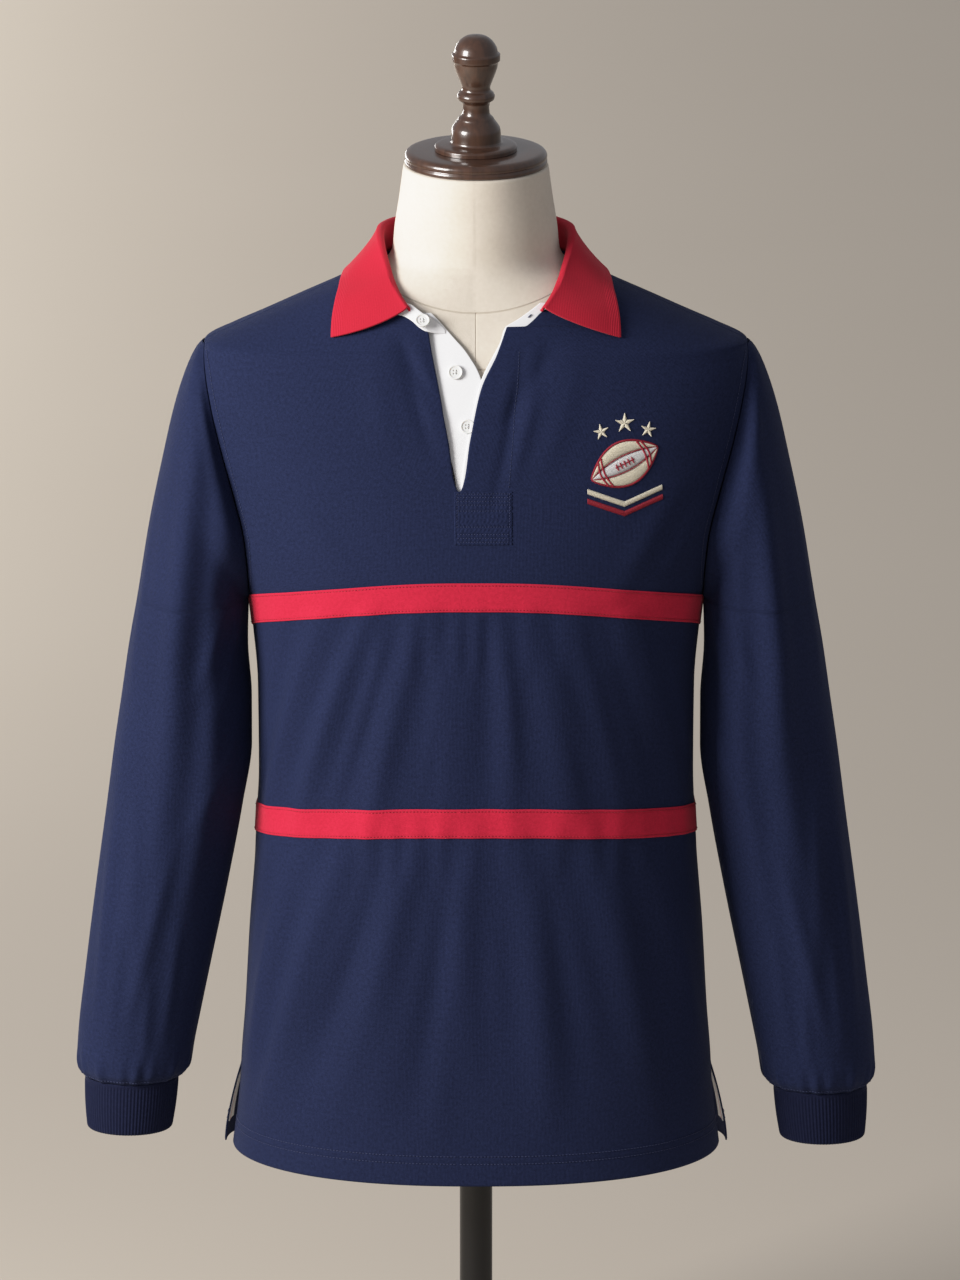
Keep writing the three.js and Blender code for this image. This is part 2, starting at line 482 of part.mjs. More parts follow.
// Skin of a sleeve on the wearer's left, by angle from its inner side, through the front, and height.
function sleeveSkin(angle, z) {
  const outer = smooth(SLEEVE, "z", "outer", z);
  const inner = smooth(SLEEVE, "z", "inner", z);
  const halfWidth = (outer - inner) / 2 + foldHeight(SLEEVE_FOLDS, angle, z);
  const halfDepth = smooth(SLEEVE, "z", "half_depth", z) + foldHeight(SLEEVE_FOLDS, angle, z);
  const x = (outer + inner) / 2 - halfWidth * Math.cos(angle);
  const y = smooth(SLEEVE, "z", "middle_y", z) - halfDepth * Math.sin(angle);
  return new THREE.Vector3(x, y, z);
}

// The point of the armhole seam at a height, at the sleeve's side of it, and the angle at which the sleeve meets it.
function armholePoint(z, back) {
  const angle = sideAngle(z, back);
  const point = onBody(back ? HALF - angle : angle, z, 0);
  const outer = smooth(SLEEVE, "z", "outer", z);
  const inner = smooth(SLEEVE, "z", "inner", z);
  const across = (outer + inner) / 2 - point.x;
  const forward = smooth(SLEEVE, "z", "middle_y", z) - point.y;
  const halfDepth = smooth(SLEEVE, "z", "half_depth", z);
  const met = Math.atan2(Math.abs(forward) / halfDepth, across / ((outer - inner) / 2));
  return { point, angle: back ? 2 * HALF - met : met, bodyAngle: back ? HALF - angle : angle };
}

// Point of a sleeve by its share of the way round from the front end to the back end. Above the underarm the two
// ends are drawn to the armhole seam, and there the wall's thickness follows the body's.
const SEAM_REACH = 50 * DEG;
function onSleeve(share, z, lift) {
  const skin = (s, height) => {
    if (height >= UNDERARM) {
      const front = armholePoint(height, false);
      const rear = armholePoint(height, true);
      const angle = THREE.MathUtils.lerp(front.angle, rear.angle, s);
      const point = sleeveSkin(angle, height);
      for (const end of [front, rear]) {
        const near = 1 - THREE.MathUtils.smoothstep(Math.abs(angle - end.angle), 0, SEAM_REACH);
        const shift = end.point.clone().sub(sleeveSkin(end.angle, height));
        point.addScaledVector(shift, near);
      }
      point.x += SEAM + 0.15;
      return point;
    }
    const point = sleeveSkin(s * 2 * HALF, height);
    point.x += SEAM + 0.15;
    return point;
  };
  const here = skin(share, z);
  if (!lift) return here;
  const s = THREE.MathUtils.clamp(share, 0.02, 0.98);
  const level = Math.min(z, SHOULDER_POINT - 2);
  const alongS = skin(s + 0.01, level).sub(skin(s - 0.01, level));
  const alongZ = skin(s, level + 0.5).sub(skin(s, level - 0.5));
  const normal = alongS.cross(alongZ).normalize();
  if (z < UNDERARM && (share === 0 || share === 1)) normal.set(-1, 0, 0);
  if (z >= UNDERARM) {
    const toFront = 1 - THREE.MathUtils.smoothstep(share, 0, 0.12);
    const toBack = 1 - THREE.MathUtils.smoothstep(1 - share, 0, 0.12);
    for (const [near, back] of [[toFront, false], [toBack, true]]) {
      const { bodyAngle } = armholePoint(Math.min(z, SHOULDER_POINT - 1), back);
      const own = onBody(bodyAngle, z, 1).sub(onBody(bodyAngle, z, 0));
      normal.lerp(own, near).normalize();
    }
  }
  return here.addScaledVector(normal, lift);
}

const CAP_LEVELS = UPPER_STEPS.filter((step) => step < 5).map((step) => between(BACK_ROWS, "side_z", step));
const ARM_LEVELS = [786, 760, 720, 670, 610, 550, 490, 430, 398, 384, 375, 368 + SEAM];
const SLEEVE_LEVELS = [1005.6, 1002, ...CAP_LEVELS.reverse(), ...ARM_LEVELS];
const SLEEVE_COLUMNS = 19;

// The wearer's left sleeve hangs a little longer below the underarm, and the right one is its mirror.
function hung(point, side) {
  const below = Math.max(0, UNDERARM - point.z) / (UNDERARM - CUFF_TOP);
  return new THREE.Vector3(point.x * side, point.y, point.z - (side > 0 ? SLEEVE_DROP * below : 0));
}
function sleeve(side) {
  const at = (i, j, lift) => hung(onSleeve(j / (SLEEVE_COLUMNS - 1), SLEEVE_LEVELS[i], lift), side);
  return wall([{ rows: SLEEVE_LEVELS.length, columns: SLEEVE_COLUMNS, at, flip: side > 0 }], 0, -CLOTH);
}

// A cuff: a short tube, a little wider at its middle.
function cuff(side) {
  const columns = 29;
  const levels = [CUFF_TOP, (CUFF_TOP + CUFF_FOOT) / 2, CUFF_FOOT];
  const at = (i, j, lift) => {
    const share = (CUFF_TOP - levels[i]) / (CUFF_TOP - CUFF_FOOT);
    const outer = THREE.MathUtils.lerp(CUFF.top_outer, CUFF.foot_outer, share) + SEAM + 0.15;
    const inner = THREE.MathUtils.lerp(CUFF.top_inner, CUFF.foot_inner, share) + SEAM + 0.15;
    const depth = THREE.MathUtils.lerp(CUFF.top_depth, CUFF.foot_depth, share);
    const angle = ((j % (columns - 1)) / (columns - 1)) * 2 * HALF;
    const out = lift + (i === 1 ? 0.8 : 0);
    const x = (outer + inner) / 2 - ((outer - inner) / 2 + out) * Math.cos(angle);
    return hung(new THREE.Vector3(x, -12 - (depth + out) * Math.sin(angle), levels[i]), side);
  };
  return wall([{ rows: levels.length, columns, at, flip: side > 0 }], 0, -RIB_KNIT);
}

// Point of the collar: along it from the wearer's right front end (-1) through the back (0) to the left end (1),
// and across it up the stand (0 to 1), round the roll (1 to 2) and down the fall to the edge (2 to 3).
function collarSkin(along, across) {
  const side = along < 0 ? -1 : 1;
  const get = (column) => smooth(COLLAR, "along", column, 1 - Math.abs(along));
  const rollAngle = get("roll_angle") * DEG;
  const edgeAngle = get("edge_angle") * DEG;
  const rollRadius = get("roll_radius");
  const middle = { r: rollRadius + ROLL_RADIUS, z: get("roll_z") - ROLL_RADIUS };
  const edge = { r: get("edge_radius"), z: heightClear(edgeAngle, get("edge_radius"), get("clear")) };
  const turnEnd = Math.atan2(edge.r - middle.r, middle.z - edge.z);
  let angle = rollAngle;
  let radius;
  let z;
  if (across <= 1) {
    radius = THREE.MathUtils.lerp(necklineRadius(rollAngle) - 1.2, rollRadius, Math.sin(across * QUARTER));
    z = THREE.MathUtils.lerp(necklineZ(rollAngle) + 2, middle.z, across);
  } else if (across <= 2) {
    const turn = THREE.MathUtils.lerp(HALF, turnEnd, across - 1);
    radius = middle.r + ROLL_RADIUS * Math.cos(turn);
    z = middle.z + ROLL_RADIUS * Math.sin(turn);
  } else {
    const down = across - 2;
    angle = THREE.MathUtils.lerp(rollAngle, edgeAngle, down);
    radius = THREE.MathUtils.lerp(middle.r + ROLL_RADIUS * Math.cos(turnEnd), edge.r, down ** 1.08);
    z = THREE.MathUtils.lerp(middle.z + ROLL_RADIUS * Math.sin(turnEnd), edge.z, down ** 0.85);
    z = Math.max(z, heightClear(angle, radius, RIB_KNIT + 0.9));
  }
  const middleY = smooth(DEPTH, "z", "side_y", 1060);
  return new THREE.Vector3(side * radius * Math.sin(angle), middleY - radius * Math.cos(angle), z);
}
const COLLAR_STEPS = [0, 0.5, 1, 1.4, 1.75, 2, 2.2, 2.4, 2.6, 2.8, 3];
const COLLAR_PLACES = [0, 0.04, 0.08, 0.13, 0.2, 0.26, 0.32, 0.385, 0.45, 0.51, 0.58, 0.68, 0.78, 0.89, 1];
function collar() {
  const places = [...COLLAR_PLACES.map((p) => p - 1), ...COLLAR_PLACES.toReversed().slice(1).map((p) => 1 - p)];
  const at = (i, j, lift) => {
    const along = places[j];
    const across = COLLAR_STEPS[i];
    const here = collarSkin(along, across);
    if (!lift) return here;
    const u = THREE.MathUtils.clamp(along, -0.99, 0.99);
    const v = THREE.MathUtils.clamp(across, 0.02, 2.98);
    const alongU = collarSkin(u + 0.01, v).sub(collarSkin(u - 0.01, v));
    const alongV = collarSkin(u, v + 0.02).sub(collarSkin(u, v - 0.02));
    return here.addScaledVector(alongU.cross(alongV).normalize(), -lift);
  };
  return wall([{ rows: COLLAR_STEPS.length, columns: places.length, at, flip: false }], 0, RIB_KNIT);
}

// The dress form: closed rings from its flat foot to the top of the neck, which leans with the cap.
function formGeometry() {
  const columns = 30;
  const levels = [
    345, 348, 400, 470, 540, 620, 690, 760, 830, 890, 940, 975, 996, 1008, 1014, 1020, 1028, 1036, 1044, 1051, 1058,
    1064, 1070, 1076, 1084, 1107, 1129, 1159,
  ];
  const rings = levels.map((z) => {
    const get = (column) => smooth(FORM, "z", column, z);
    const edge = z === FORM_FOOT ? 4 : 0;
    const lean = THREE.MathUtils.smoothstep(z, 1100, NECK_TOP) * Math.tan(CAP_TILT);
    return Array.from({ length: columns }, (_, j) => {
      const angle = (j / columns) * 2 * HALF;
      const depth = get(Math.cos(angle) >= 0 ? "front" : "back") - edge;
      const radius = sectionRadius(angle, get("half_width") - edge, depth, get("power"));
      const y = get("middle_y") - radius * Math.cos(angle);
      return new THREE.Vector3(radius * Math.sin(angle), y, z + y * lean);
    });
  });
  return closedRings(rings);
}

// A closed solid from rings of points, each one wound the same way, with a flat face on the first and last.
function closedRings(rings) {
  const columns = rings[0].length;
  const points = rings.flat();
  const foot = points.push(middleOf(rings[0])) - 1;
  const top = points.push(middleOf(rings.at(-1))) - 1;
  const faces = [];
  for (let j = 0; j < columns; j++) {
    const next = (j + 1) % columns;
    faces.push(foot, next, j);
    const last = (rings.length - 1) * columns;
    faces.push(top, last + j, last + next);
    for (let i = 0; i + 1 < rings.length; i++) {
      const a = i * columns + j;
      const b = i * columns + next;
      faces.push(a, b, b + columns, a, b + columns, a + columns);
    }
  }
  return new THREE.BufferGeometry().setFromPoints(points).setIndex(faces);
}
function middleOf(ring) {
  return ring.reduce((sum, p) => sum.add(p), new THREE.Vector3()).divideScalar(ring.length);
}

// A four-hole button with a rim, lying on the button stand.
function button(x, z) {
  const place = (lift) => onBody(angleAtX(x, z, false), z, lift);
  const r = BUTTON_RADIUS;
  const t = BUTTON_THICKNESS;
  const geometry = turned([[0, 0], [r - 0.6, 0], [r, 0.7], [r, t - 0.3], [r - 0.6, t], [r - 1.4, t - 0.5], [0, t - 0.7]], 16);
  const foot = place(SEAM - STAND_DEPTH);
  const facing = place(1).sub(place(0)).normalize();
  const turn = new THREE.Quaternion().setFromUnitVectors(new THREE.Vector3(0, 0, 1), facing);
  return geometry.applyQuaternion(turn).translate(foot.x, foot.y, foot.z);
}

// Turned pieces, from a profile of radii and heights that starts and ends on the axis.
function turned(profile, segments = 28) {
  const points = profile.map(([r, z]) => new THREE.Vector2(r, z));
  return new THREE.LatheGeometry(points, segments).rotateX(QUARTER);
}
function neckCap() {
  const r = CAP_RADIUS;
  const t = CAP_THICKNESS;
  return turned([[0, 0], [r - 1, 0], [r, 1], [r, t - 1.5], [r - 1.5, t], [0, t]], 36);
}
function finial() {
  const profile = FINIAL.map(({ r, h }) => [r, h]);
  return turned([[0, 0], ...profile, [0, 99]], 20);
}
function pole() {
  return turned([[0, 0], [POLE_RADIUS, 0], [POLE_RADIUS, FORM_FOOT - BASE_THICKNESS - 2 * SEAM], [0, FORM_FOOT - BASE_THICKNESS - 2 * SEAM]]);
}
function basePlate() {
  const r = BASE_RADIUS;
  const t = BASE_THICKNESS;
  return turned([[0, 0], [r - 1.5, 0], [r, 1.5], [r, t - 4], [r - 4, t], [0, t]], 40);
}

const FABRIC = { roughness: 0.9, metalness: 0 };
const materials = {
  navy: new THREE.MeshStandardMaterial({ color: 0x232848, ...FABRIC }),
  red: new THREE.MeshStandardMaterial({ color: 0xb81d38, ...FABRIC }),
  white: new THREE.MeshStandardMaterial({ color: 0xf1f1f3, ...FABRIC }),
  linen: new THREE.MeshStandardMaterial({ color: 0xdcd2c2, ...FABRIC }),
  wood: new THREE.MeshStandardMaterial({ color: 0x35211a, roughness: 0.35, metalness: 0 }),
  metal: new THREE.MeshStandardMaterial({ color: 0x151515, roughness: 0.4, metalness: 0.3 }),
  button: new THREE.MeshStandardMaterial({ color: 0xeeece8, roughness: 0.35, metalness: 0 }),
};

const part = new THREE.Group();
function add(name, geometry, material, parent = part) {
  const mesh = new THREE.Mesh(geometry, materials[material]);
  mesh.name = name;
  parent.add(mesh);
  return mesh;
}

add("front", frontPanel(), "navy");
add("back", backPanel(), "navy");
add("chest_band_front", band(CHEST_BAND_FOOT, false), "red");
add("chest_band_back", band(CHEST_BAND_FOOT, true), "red");
add("waist_band_front", band(WAIST_BAND_FOOT, false), "red");
add("waist_band_back", band(WAIST_BAND_FOOT, true), "red");
for (const [name, side] of [["left", 1], ["right", -1]]) {
  add(`sleeve_${name}`, sleeve(side), "navy");
  add(`cuff_${name}`, cuff(side), "navy");
}
add("collar", collar(), "red");
add("button_stand", strip(BUTTON_STAND, STAND_LEVELS, 5, -STAND_DEPTH, 2 * TWILL), "white");
add("placket_facing", strip(FACING, FACING_LEVELS, 5, -CLOTH - 2 * SEAM, TWILL), "white");
for (const [name, side] of [["left", 1], ["right", -1]]) add(`vent_tape_${name}`, ventTape(side), "white");
BUTTONS.forEach(({ x, z }, i) => add(`button_${i + 1}`, button(x, z), "button"));

add("form", formGeometry(), "linen");
const head = new THREE.Group();
head.position.set(0, 0, NECK_TOP + SEAM);
head.rotation.x = CAP_TILT;
part.add(head);
add("neck_cap", neckCap(), "wood", head);
add("finial", finial(), "wood", head).position.z = CAP_THICKNESS + SEAM;
add("pole", pole(), "metal").position.z = BASE_THICKNESS + SEAM;
add("base_plate", basePlate(), "metal");

export default part;
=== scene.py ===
import bmesh
import bpy
import numpy as np
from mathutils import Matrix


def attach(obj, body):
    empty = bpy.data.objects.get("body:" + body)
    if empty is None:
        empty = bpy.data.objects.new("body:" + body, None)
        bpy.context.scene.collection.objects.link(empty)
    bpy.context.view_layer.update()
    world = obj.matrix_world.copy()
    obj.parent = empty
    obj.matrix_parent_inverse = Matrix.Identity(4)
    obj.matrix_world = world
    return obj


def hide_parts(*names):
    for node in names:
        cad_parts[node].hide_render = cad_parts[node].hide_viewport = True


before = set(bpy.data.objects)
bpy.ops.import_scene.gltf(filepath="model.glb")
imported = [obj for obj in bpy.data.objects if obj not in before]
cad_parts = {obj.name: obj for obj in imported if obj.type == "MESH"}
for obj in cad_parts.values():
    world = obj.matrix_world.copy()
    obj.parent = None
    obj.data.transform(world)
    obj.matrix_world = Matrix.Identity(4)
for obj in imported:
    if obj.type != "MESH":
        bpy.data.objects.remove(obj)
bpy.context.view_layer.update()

# Base plate and pole.
# A round steel plate with a bevelled rim and a steel tube that stands in its middle, both sprayed satin black. The
# tube is pushed up into a socket in the form's foot.
BASE_RADIUS = 190
BASE_THICKNESS = 12
POLE_RADIUS = 14
FORM_FOOT = 345
SEAM = 0.3


def turned(profile, columns=96):
    """Grid of a turned piece: each radius of the profile goes once round the axis, by its sine and cosine."""
    radius, height = np.array(profile, float).T[:, :, None]
    turn = np.arange(columns) * 2 * np.pi / columns
    return np.stack([radius * np.sin(turn), -radius * np.cos(turn), height + 0 * turn], axis=-1)


def lengths(grid):
    """Map of a grid in metres: the way walked along each row, and the mean way walked up the columns."""
    across = np.cumsum(np.linalg.norm(np.diff(grid, axis=1, prepend=grid[:, :1]), axis=2), axis=1)
    up = np.cumsum(np.linalg.norm(np.diff(grid, axis=0, prepend=grid[:1]), axis=2), axis=0)
    return np.stack([across, up.mean(axis=1, keepdims=True) + 0 * across], axis=-1) * 0.001


def shell(name, grids, wrap=False, maps=None, join=0.00002, sharp=None, thick=None):
    """One mesh from grids of points in millimetres: a cell's four corners are a face, and points that meet are
    joined. A thickness makes it a wall that lies under the grids."""
    points, quads, map_values, count = [], [], [], 0
    for k, grid in enumerate(grids):
        rows, columns = grid.shape[:2]
        i, j = np.meshgrid(np.arange(rows - 1), np.arange(columns - (not wrap)), indexing="ij")
        low, high = i * columns + j, i * columns + (j + 1) % columns
        quads.append(count + np.stack([low, high, high + columns, low + columns], -1).reshape(-1, 4))
        points.append(grid.reshape(-1, 3))
        map_values.append((maps[k] if maps else lengths(grid)).reshape(-1, 2))
        count += rows * columns
    mesh = bpy.data.meshes.new(name)
    mesh.from_pydata(np.concatenate(points) * 0.001, [], np.concatenate(quads).tolist())
    corners = np.empty(len(mesh.loops), int)
    mesh.loops.foreach_get("vertex_index", corners)
    mesh.uv_layers.new(name="cloth").data.foreach_set("uv", np.concatenate(map_values)[corners].ravel())
    working = bmesh.new()
    working.from_mesh(mesh)
    bmesh.ops.remove_doubles(working, verts=working.verts, dist=join)
    working.to_mesh(mesh)
    working.free()
    mesh.polygons.foreach_set("use_smooth", np.ones(len(mesh.polygons), bool))
    if sharp:
        mesh.set_sharp_from_angle(angle=np.radians(sharp))
    made = bpy.data.objects.new(name, mesh)
    bpy.context.collection.objects.link(made)
    if thick:
        wall = made.modifiers.new("cloth", "SOLIDIFY")
        wall.thickness, wall.offset = thick * 0.001, -1
    return made


def fit(made, material, slot, *nodes):
    """Gives a piece its material and lets it ride on the one body in place of its CAD nodes; the slot is not used."""
    made.data.materials.append(material)
    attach(made, "root")
    if nodes:
        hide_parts(*nodes)


class Dye:
    """One output socket of a material. Its operators add Math nodes, and node() adds a node of any other kind."""

    def __init__(self, tree, socket=None):
        self.tree, self.socket = tree, socket

    def node(self, kind, sockets=None, out=0, stops=None, **settings):
        """A new node with its settings, ramp stops and inputs, each a value or a Dye that is linked to it."""
        made = self.tree.nodes.new(kind)
        for key, value in settings.items():
            setattr(made, key, value)
        for k, (at, colour) in enumerate(stops or []):
            stop = made.color_ramp.elements[k] if k < 2 else made.color_ramp.elements.new(at)
            stop.position, stop.color = at, colour
        for key, value in (sockets or {}).items():
            if isinstance(value, Dye):
                self.tree.links.new(value.socket, made.inputs[key])
            else:
                made.inputs[key].default_value = value
        return Dye(self.tree, made.outputs[out])

    def worked(self, operation, first, second=0.0):
        """A Math node on two values."""
        return self.node("ShaderNodeMath", {0: first, 1: second}, operation=operation)

    def __add__(self, other):
        return self.worked("ADD", self, other)

    __radd__ = __add__

    def __sub__(self, other):
        return self.worked("SUBTRACT", self, other)

    def __rsub__(self, other):
        return self.worked("SUBTRACT", other, self)

    def __mul__(self, other):
        return self.worked("MULTIPLY", self, other)

    __rmul__ = __mul__

    def __abs__(self):
        return self.worked("ABSOLUTE", self)

    def wave(self):
        """Sine of the value, moved to lie from 0 to 1."""
        return self.worked("SINE", self) * 0.5 + 0.5

    def within(self, low, high):
        """1 below low and 0 above high, with a soft step between."""
        return self.node(
            "ShaderNodeMapRange",
            {"Value": self, "From Min": low, "From Max": high, "To Min": 1.0, "To Max": 0.0},
            interpolation_type="SMOOTHSTEP",
        )


def blended(mask, dark, light):
    """Colour that goes from dark to light with a mask from 0 to 1."""
    return mask.node("ShaderNodeMix", {0: mask, 6: dark, 7: light}, out=2, data_type="RGBA")


def finish(name, **uniform):
    """A material whose shader has the given values all over, and a Dye to start its nodes from."""
    material = bpy.data.materials.new(name)
    material.use_nodes = True
    material.node_tree.nodes.clear()
    shader = material.node_tree.nodes.new("ShaderNodeBsdfPrincipled")
    shader.name = "finish"
    output = material.node_tree.nodes.new("ShaderNodeOutputMaterial")
    material.node_tree.links.new(shader.outputs[0], output.inputs["Surface"])
    for key, value in uniform.items():
        shader.inputs[key.replace("_", " ")].default_value = value
    return material, Dye(material.node_tree)


def feed(material, relief=None, depth=0.0002, **values):
    """Leads what changes over the surface to the shader. relief is a height from 0 to 1, worth depth metres."""
    shader = material.node_tree.nodes["finish"]
    for key, value in values.items():
        material.node_tree.links.new(value.socket, shader.inputs[key.replace("_", " ")])
    if relief:
        bump = relief.node("ShaderNodeBump", {"Height": relief, "Distance": depth, "Strength": 1.0})
        material.node_tree.links.new(bump.socket, shader.inputs["Normal"])


def noise(where, scale, detail=3.0, **sockets):
    """Noise on a coordinate, with a number of lumps to the metre."""
    return where.node("ShaderNodeTexNoise", {"Vector": where, "Scale": scale, "Detail": detail, **sockets})


def mottled(start, scale, detail=3.0):
    """Noise on the piece's own place."""
    return noise(start.node("ShaderNodeTexCoord", out=3), scale, detail)


def ways(where, *wanted):
    """Some of a coordinate's three values, by number."""
    return [where.node("ShaderNodeSeparateXYZ", {0: where}, out=k) for k in wanted]


black_metal, start = finish("satin_black_steel", Metallic=0.4, Coat_Weight=0.25, Coat_Roughness=0.25)
speckle = mottled(start, 900)
feed(
    black_metal,
    relief=speckle,
    depth=0.00004,
    Base_Color=blended(mottled(start, 14), (0.006, 0.006, 0.007, 1), (0.013, 0.012, 0.012, 1)),
    Roughness=speckle * 0.16 + 0.3,
)
plate_profile = [
    (0, 0), (BASE_RADIUS - 1.5, 0), (BASE_RADIUS - 0.4, 0.4), (BASE_RADIUS, 1.5), (BASE_RADIUS, BASE_THICKNESS - 4),
    (BASE_RADIUS - 0.5, BASE_THICKNESS - 2.6), (BASE_RADIUS - 2, BASE_THICKNESS - 0.8),
    (BASE_RADIUS - 4, BASE_THICKNESS), (40, BASE_THICKNESS), (0, BASE_THICKNESS),
]
plate = shell("base_disc", [turned(plate_profile, 160)], wrap=True, sharp=35)
fit(plate, black_metal, "black_metal", "base_plate")
pole_top = FORM_FOOT - 2 * SEAM
pole_profile = [
    (0, BASE_THICKNESS + SEAM), (22, BASE_THICKNESS + SEAM), (22, 18), (20.5, 20), (POLE_RADIUS + 0.4, 20.6),
    (POLE_RADIUS, 21), (POLE_RADIUS, 180), (POLE_RADIUS, pole_top), (0, pole_top),
]
tube = shell("pole_tube", [turned(pole_profile, 64)], wrap=True, sharp=35)
fit(tube, black_metal, "black_metal", "pole")

# Dress form.
# A moulded torso and neck with no limbs, covered in natural linen that is stretched over it in panels. A seam runs
# round the foot of the neck, one down the middle of the chest and one across below the yoke.
NECK_TOP = 1159
CAP_TILT = np.radians(3.2)
# Height, half width, depth in front, depth behind, where the middle lies and how square the section is.
FORM = np.array([
    (345, 163, 101, 98, 0, 2.2), (420, 170, 106, 108, 0, 2.2), (520, 163, 101, 104, 0, 2.2),
    (620, 148, 95, 92, 0, 2.2), (700, 154, 101, 98, 0, 2.2), (780, 166, 110, 114, 1, 2.2),
    (840, 174, 112, 121, 2, 2.2), (900, 181, 105.5, 124, 4, 2.2), (950, 190, 98.5, 118, 6, 2.2),
    (990, 199, 89, 105, 8, 2.2), (1006, 203, 84, 98, 8, 2.2), (1014, 203, 81, 93, 8.5, 2.2),
    (1020, 196, 79, 89, 9, 2.2), (1028, 179.5, 76, 83, 9, 2.2), (1044, 144.6, 70.5, 71, 9, 2.15),
    (1058, 114, 67, 62, 9, 2.1), (1068, 92, 65, 52, 9, 2.05), (1076, 77, 63.5, 49, 8.5, 2),
    (1084, 71, 62.5, 50, 8, 2), (1107, 68.4, 62, 55, 5, 2), (1129, 65, 61, 60, 2.5, 2), (1159, 61, 60, 60, 0, 2),
])


def fair(table, column, at):
    """Value of a table's column between its rows: a cubic through each pair of rows. Its slope at a row is the
    weighted harmonic mean of the two steps there, or 0 where they turn, so that it never overshoots."""
    keys, values = table[:, 0], table[:, column]
    at = np.clip(at, keys[0], keys[-1])
    step = np.diff(keys)
    rise = np.diff(values) / step
    before, after = rise[:-1], rise[1:]
    turns = before * after <= 0
    near, far = 2 * step[1:] + step[:-1], step[1:] + 2 * step[:-1]
    mean = (near + far) / (near / np.where(turns, 1, before) + far / np.where(turns, 1, after))
    slope = np.concatenate([rise[:1], np.where(turns, 0, mean), rise[-1:]])
    k = np.clip(np.searchsorted(keys, at, side="right") - 1, 0, len(keys) - 2)
    t, h = (at - keys[k]) / step[k], step[k]
    held = values[k] * (1 + 2 * t) * (1 - t) ** 2 + values[k + 1] * t * t * (3 - 2 * t)
    return held + h * slope[k] * t * (1 - t) ** 2 - h * slope[k + 1] * t * t * (1 - t)


def soft_step(value, low, high):
    """0 below low, 1 above high and a smooth step between."""
    t = np.clip((value - low) / (high - low), 0, 1)
    return t * t * (3 - 2 * t)


def section(angle, half_width, depth, power):
    """Distance from the middle to a rounded-box section, at an angle from the front."""
    return (np.abs(np.sin(angle) / half_width) ** power + np.abs(np.cos(angle) / depth) ** power) ** (-1 / power)


def form_skin(angle, z, inset=0.0, share=1.0):
    """Point of the form: a rounded-box section at each height, which leans with the cap near its top."""
    depth = np.where(np.cos(angle) >= 0, fair(FORM, 2, z), fair(FORM, 3, z))
    radius = share * section(angle, fair(FORM, 1, z) - inset, depth - inset, fair(FORM, 5, z))
    y = fair(FORM, 4, z) - radius * np.cos(angle)
    return np.stack([radius * np.sin(angle), y, z + y * soft_step(z, 1100, NECK_TOP) * np.tan(CAP_TILT)], axis=-1)


form_turn = (np.arange(144) * 2 * np.pi / 144)[None, :]
form_rows = np.array(
    [(345, 4, 0), (345, 4, 0.5), (345, 4, 0.97), (345.3, 2.6, 1), (346.2, 1.1, 1), (347.6, 0.2, 1)]
    + [(z, 0, 1) for z in np.linspace(349, 1156.5, 170)]
    + [(1158.2, 0.2, 1), (1159, 1.2, 1), (1159, 1.2, 0.6), (1159, 1.2, 0)]
)
z_rows, inset_rows, share_rows = form_rows.T[:, :, None]
torso_grid = form_skin(form_turn, z_rows + 0 * form_turn, inset_rows, share_rows)
linen, start = finish("stretched_linen", Specular_IOR_Level=0.2)
place = start.node("ShaderNodeTexCoord", out=3)
side_way, up_way = ways(place, 0, 2)
round_way, high_way = ways(start.node("ShaderNodeTexCoord", out=2), 0, 1)
weave = (round_way * 7400).wave() * (high_way * 6900).wave()
neck_seam = abs(up_way - (side_way * side_way * 3.4 + 1.0435)).within(0.0003, 0.0009)
front_seam = abs(side_way).within(0.0002, 0.0008) * up_way.within(1.0436, 1.044)
front_seam = front_seam * (1 - up_way.within(1.004, 1.0045))
yoke_seam = abs(up_way - 0.9985).within(0.0004, 0.0012)
seams = neck_seam + front_seam + yoke_seam
slubs = mottled(start, 260, detail=4.0)
flax = blended(mottled(start, 30) * 0.5 + slubs * 0.5, (0.62, 0.555, 0.47, 1), (0.80, 0.735, 0.65, 1))
feed(
    linen,
    relief=weave * 0.5 + slubs * 0.2 - seams * 1.2,
    depth=0.00022,
    Base_Color=blended(seams * 0.36, flax, (0.26, 0.20, 0.14, 1)),
    Roughness=slubs * 0.12 + 0.82,
)
fit(shell("linen_form", [torso_grid], wrap=True), linen, "linen", "form")

# Neck cap and finial.
# Both are turned from dark walnut and lacquered to a gloss. The cap closes the neck and leans a little forward, and
# the finial is the handle that the form is lifted by.
CAP = [
    (0, 0), (58.6, 0), (59.6, 0.4), (60, 1.2), (60, 3.4), (59.2, 4.2), (59.1, 4.8), (59.9, 5.6), (60, 7.6),
    (59.4, 9.4), (58, 10.9), (56, 11.7), (54, 12), (38, 12), (0, 12),
]
FINIAL = np.array([
    (0, 34.7, 0), (1, 34.7, 3), (2, 32.5, 5), (3, 22, 6), (4, 21, 8.5), (5, 21, 13), (6, 20.5, 18), (7, 18.5, 22),
    (8, 15.5, 26), (9, 14.8, 27.5), (10, 11.8, 31), (11, 11.2, 36), (12, 12, 41), (13, 15.3, 43.5),
    (14, 15.9, 46.5), (15, 14.5, 49.5), (16, 12.3, 51.5), (17, 12, 54), (18, 14.5, 61), (19, 17.8, 70),
    (20, 19, 75.5), (21, 20.4, 77.5), (22, 20.4, 82), (23, 18.6, 84), (24, 17.5, 88), (25, 13, 94.5), (26, 7, 98),
    (27, 0, 99),
], float)


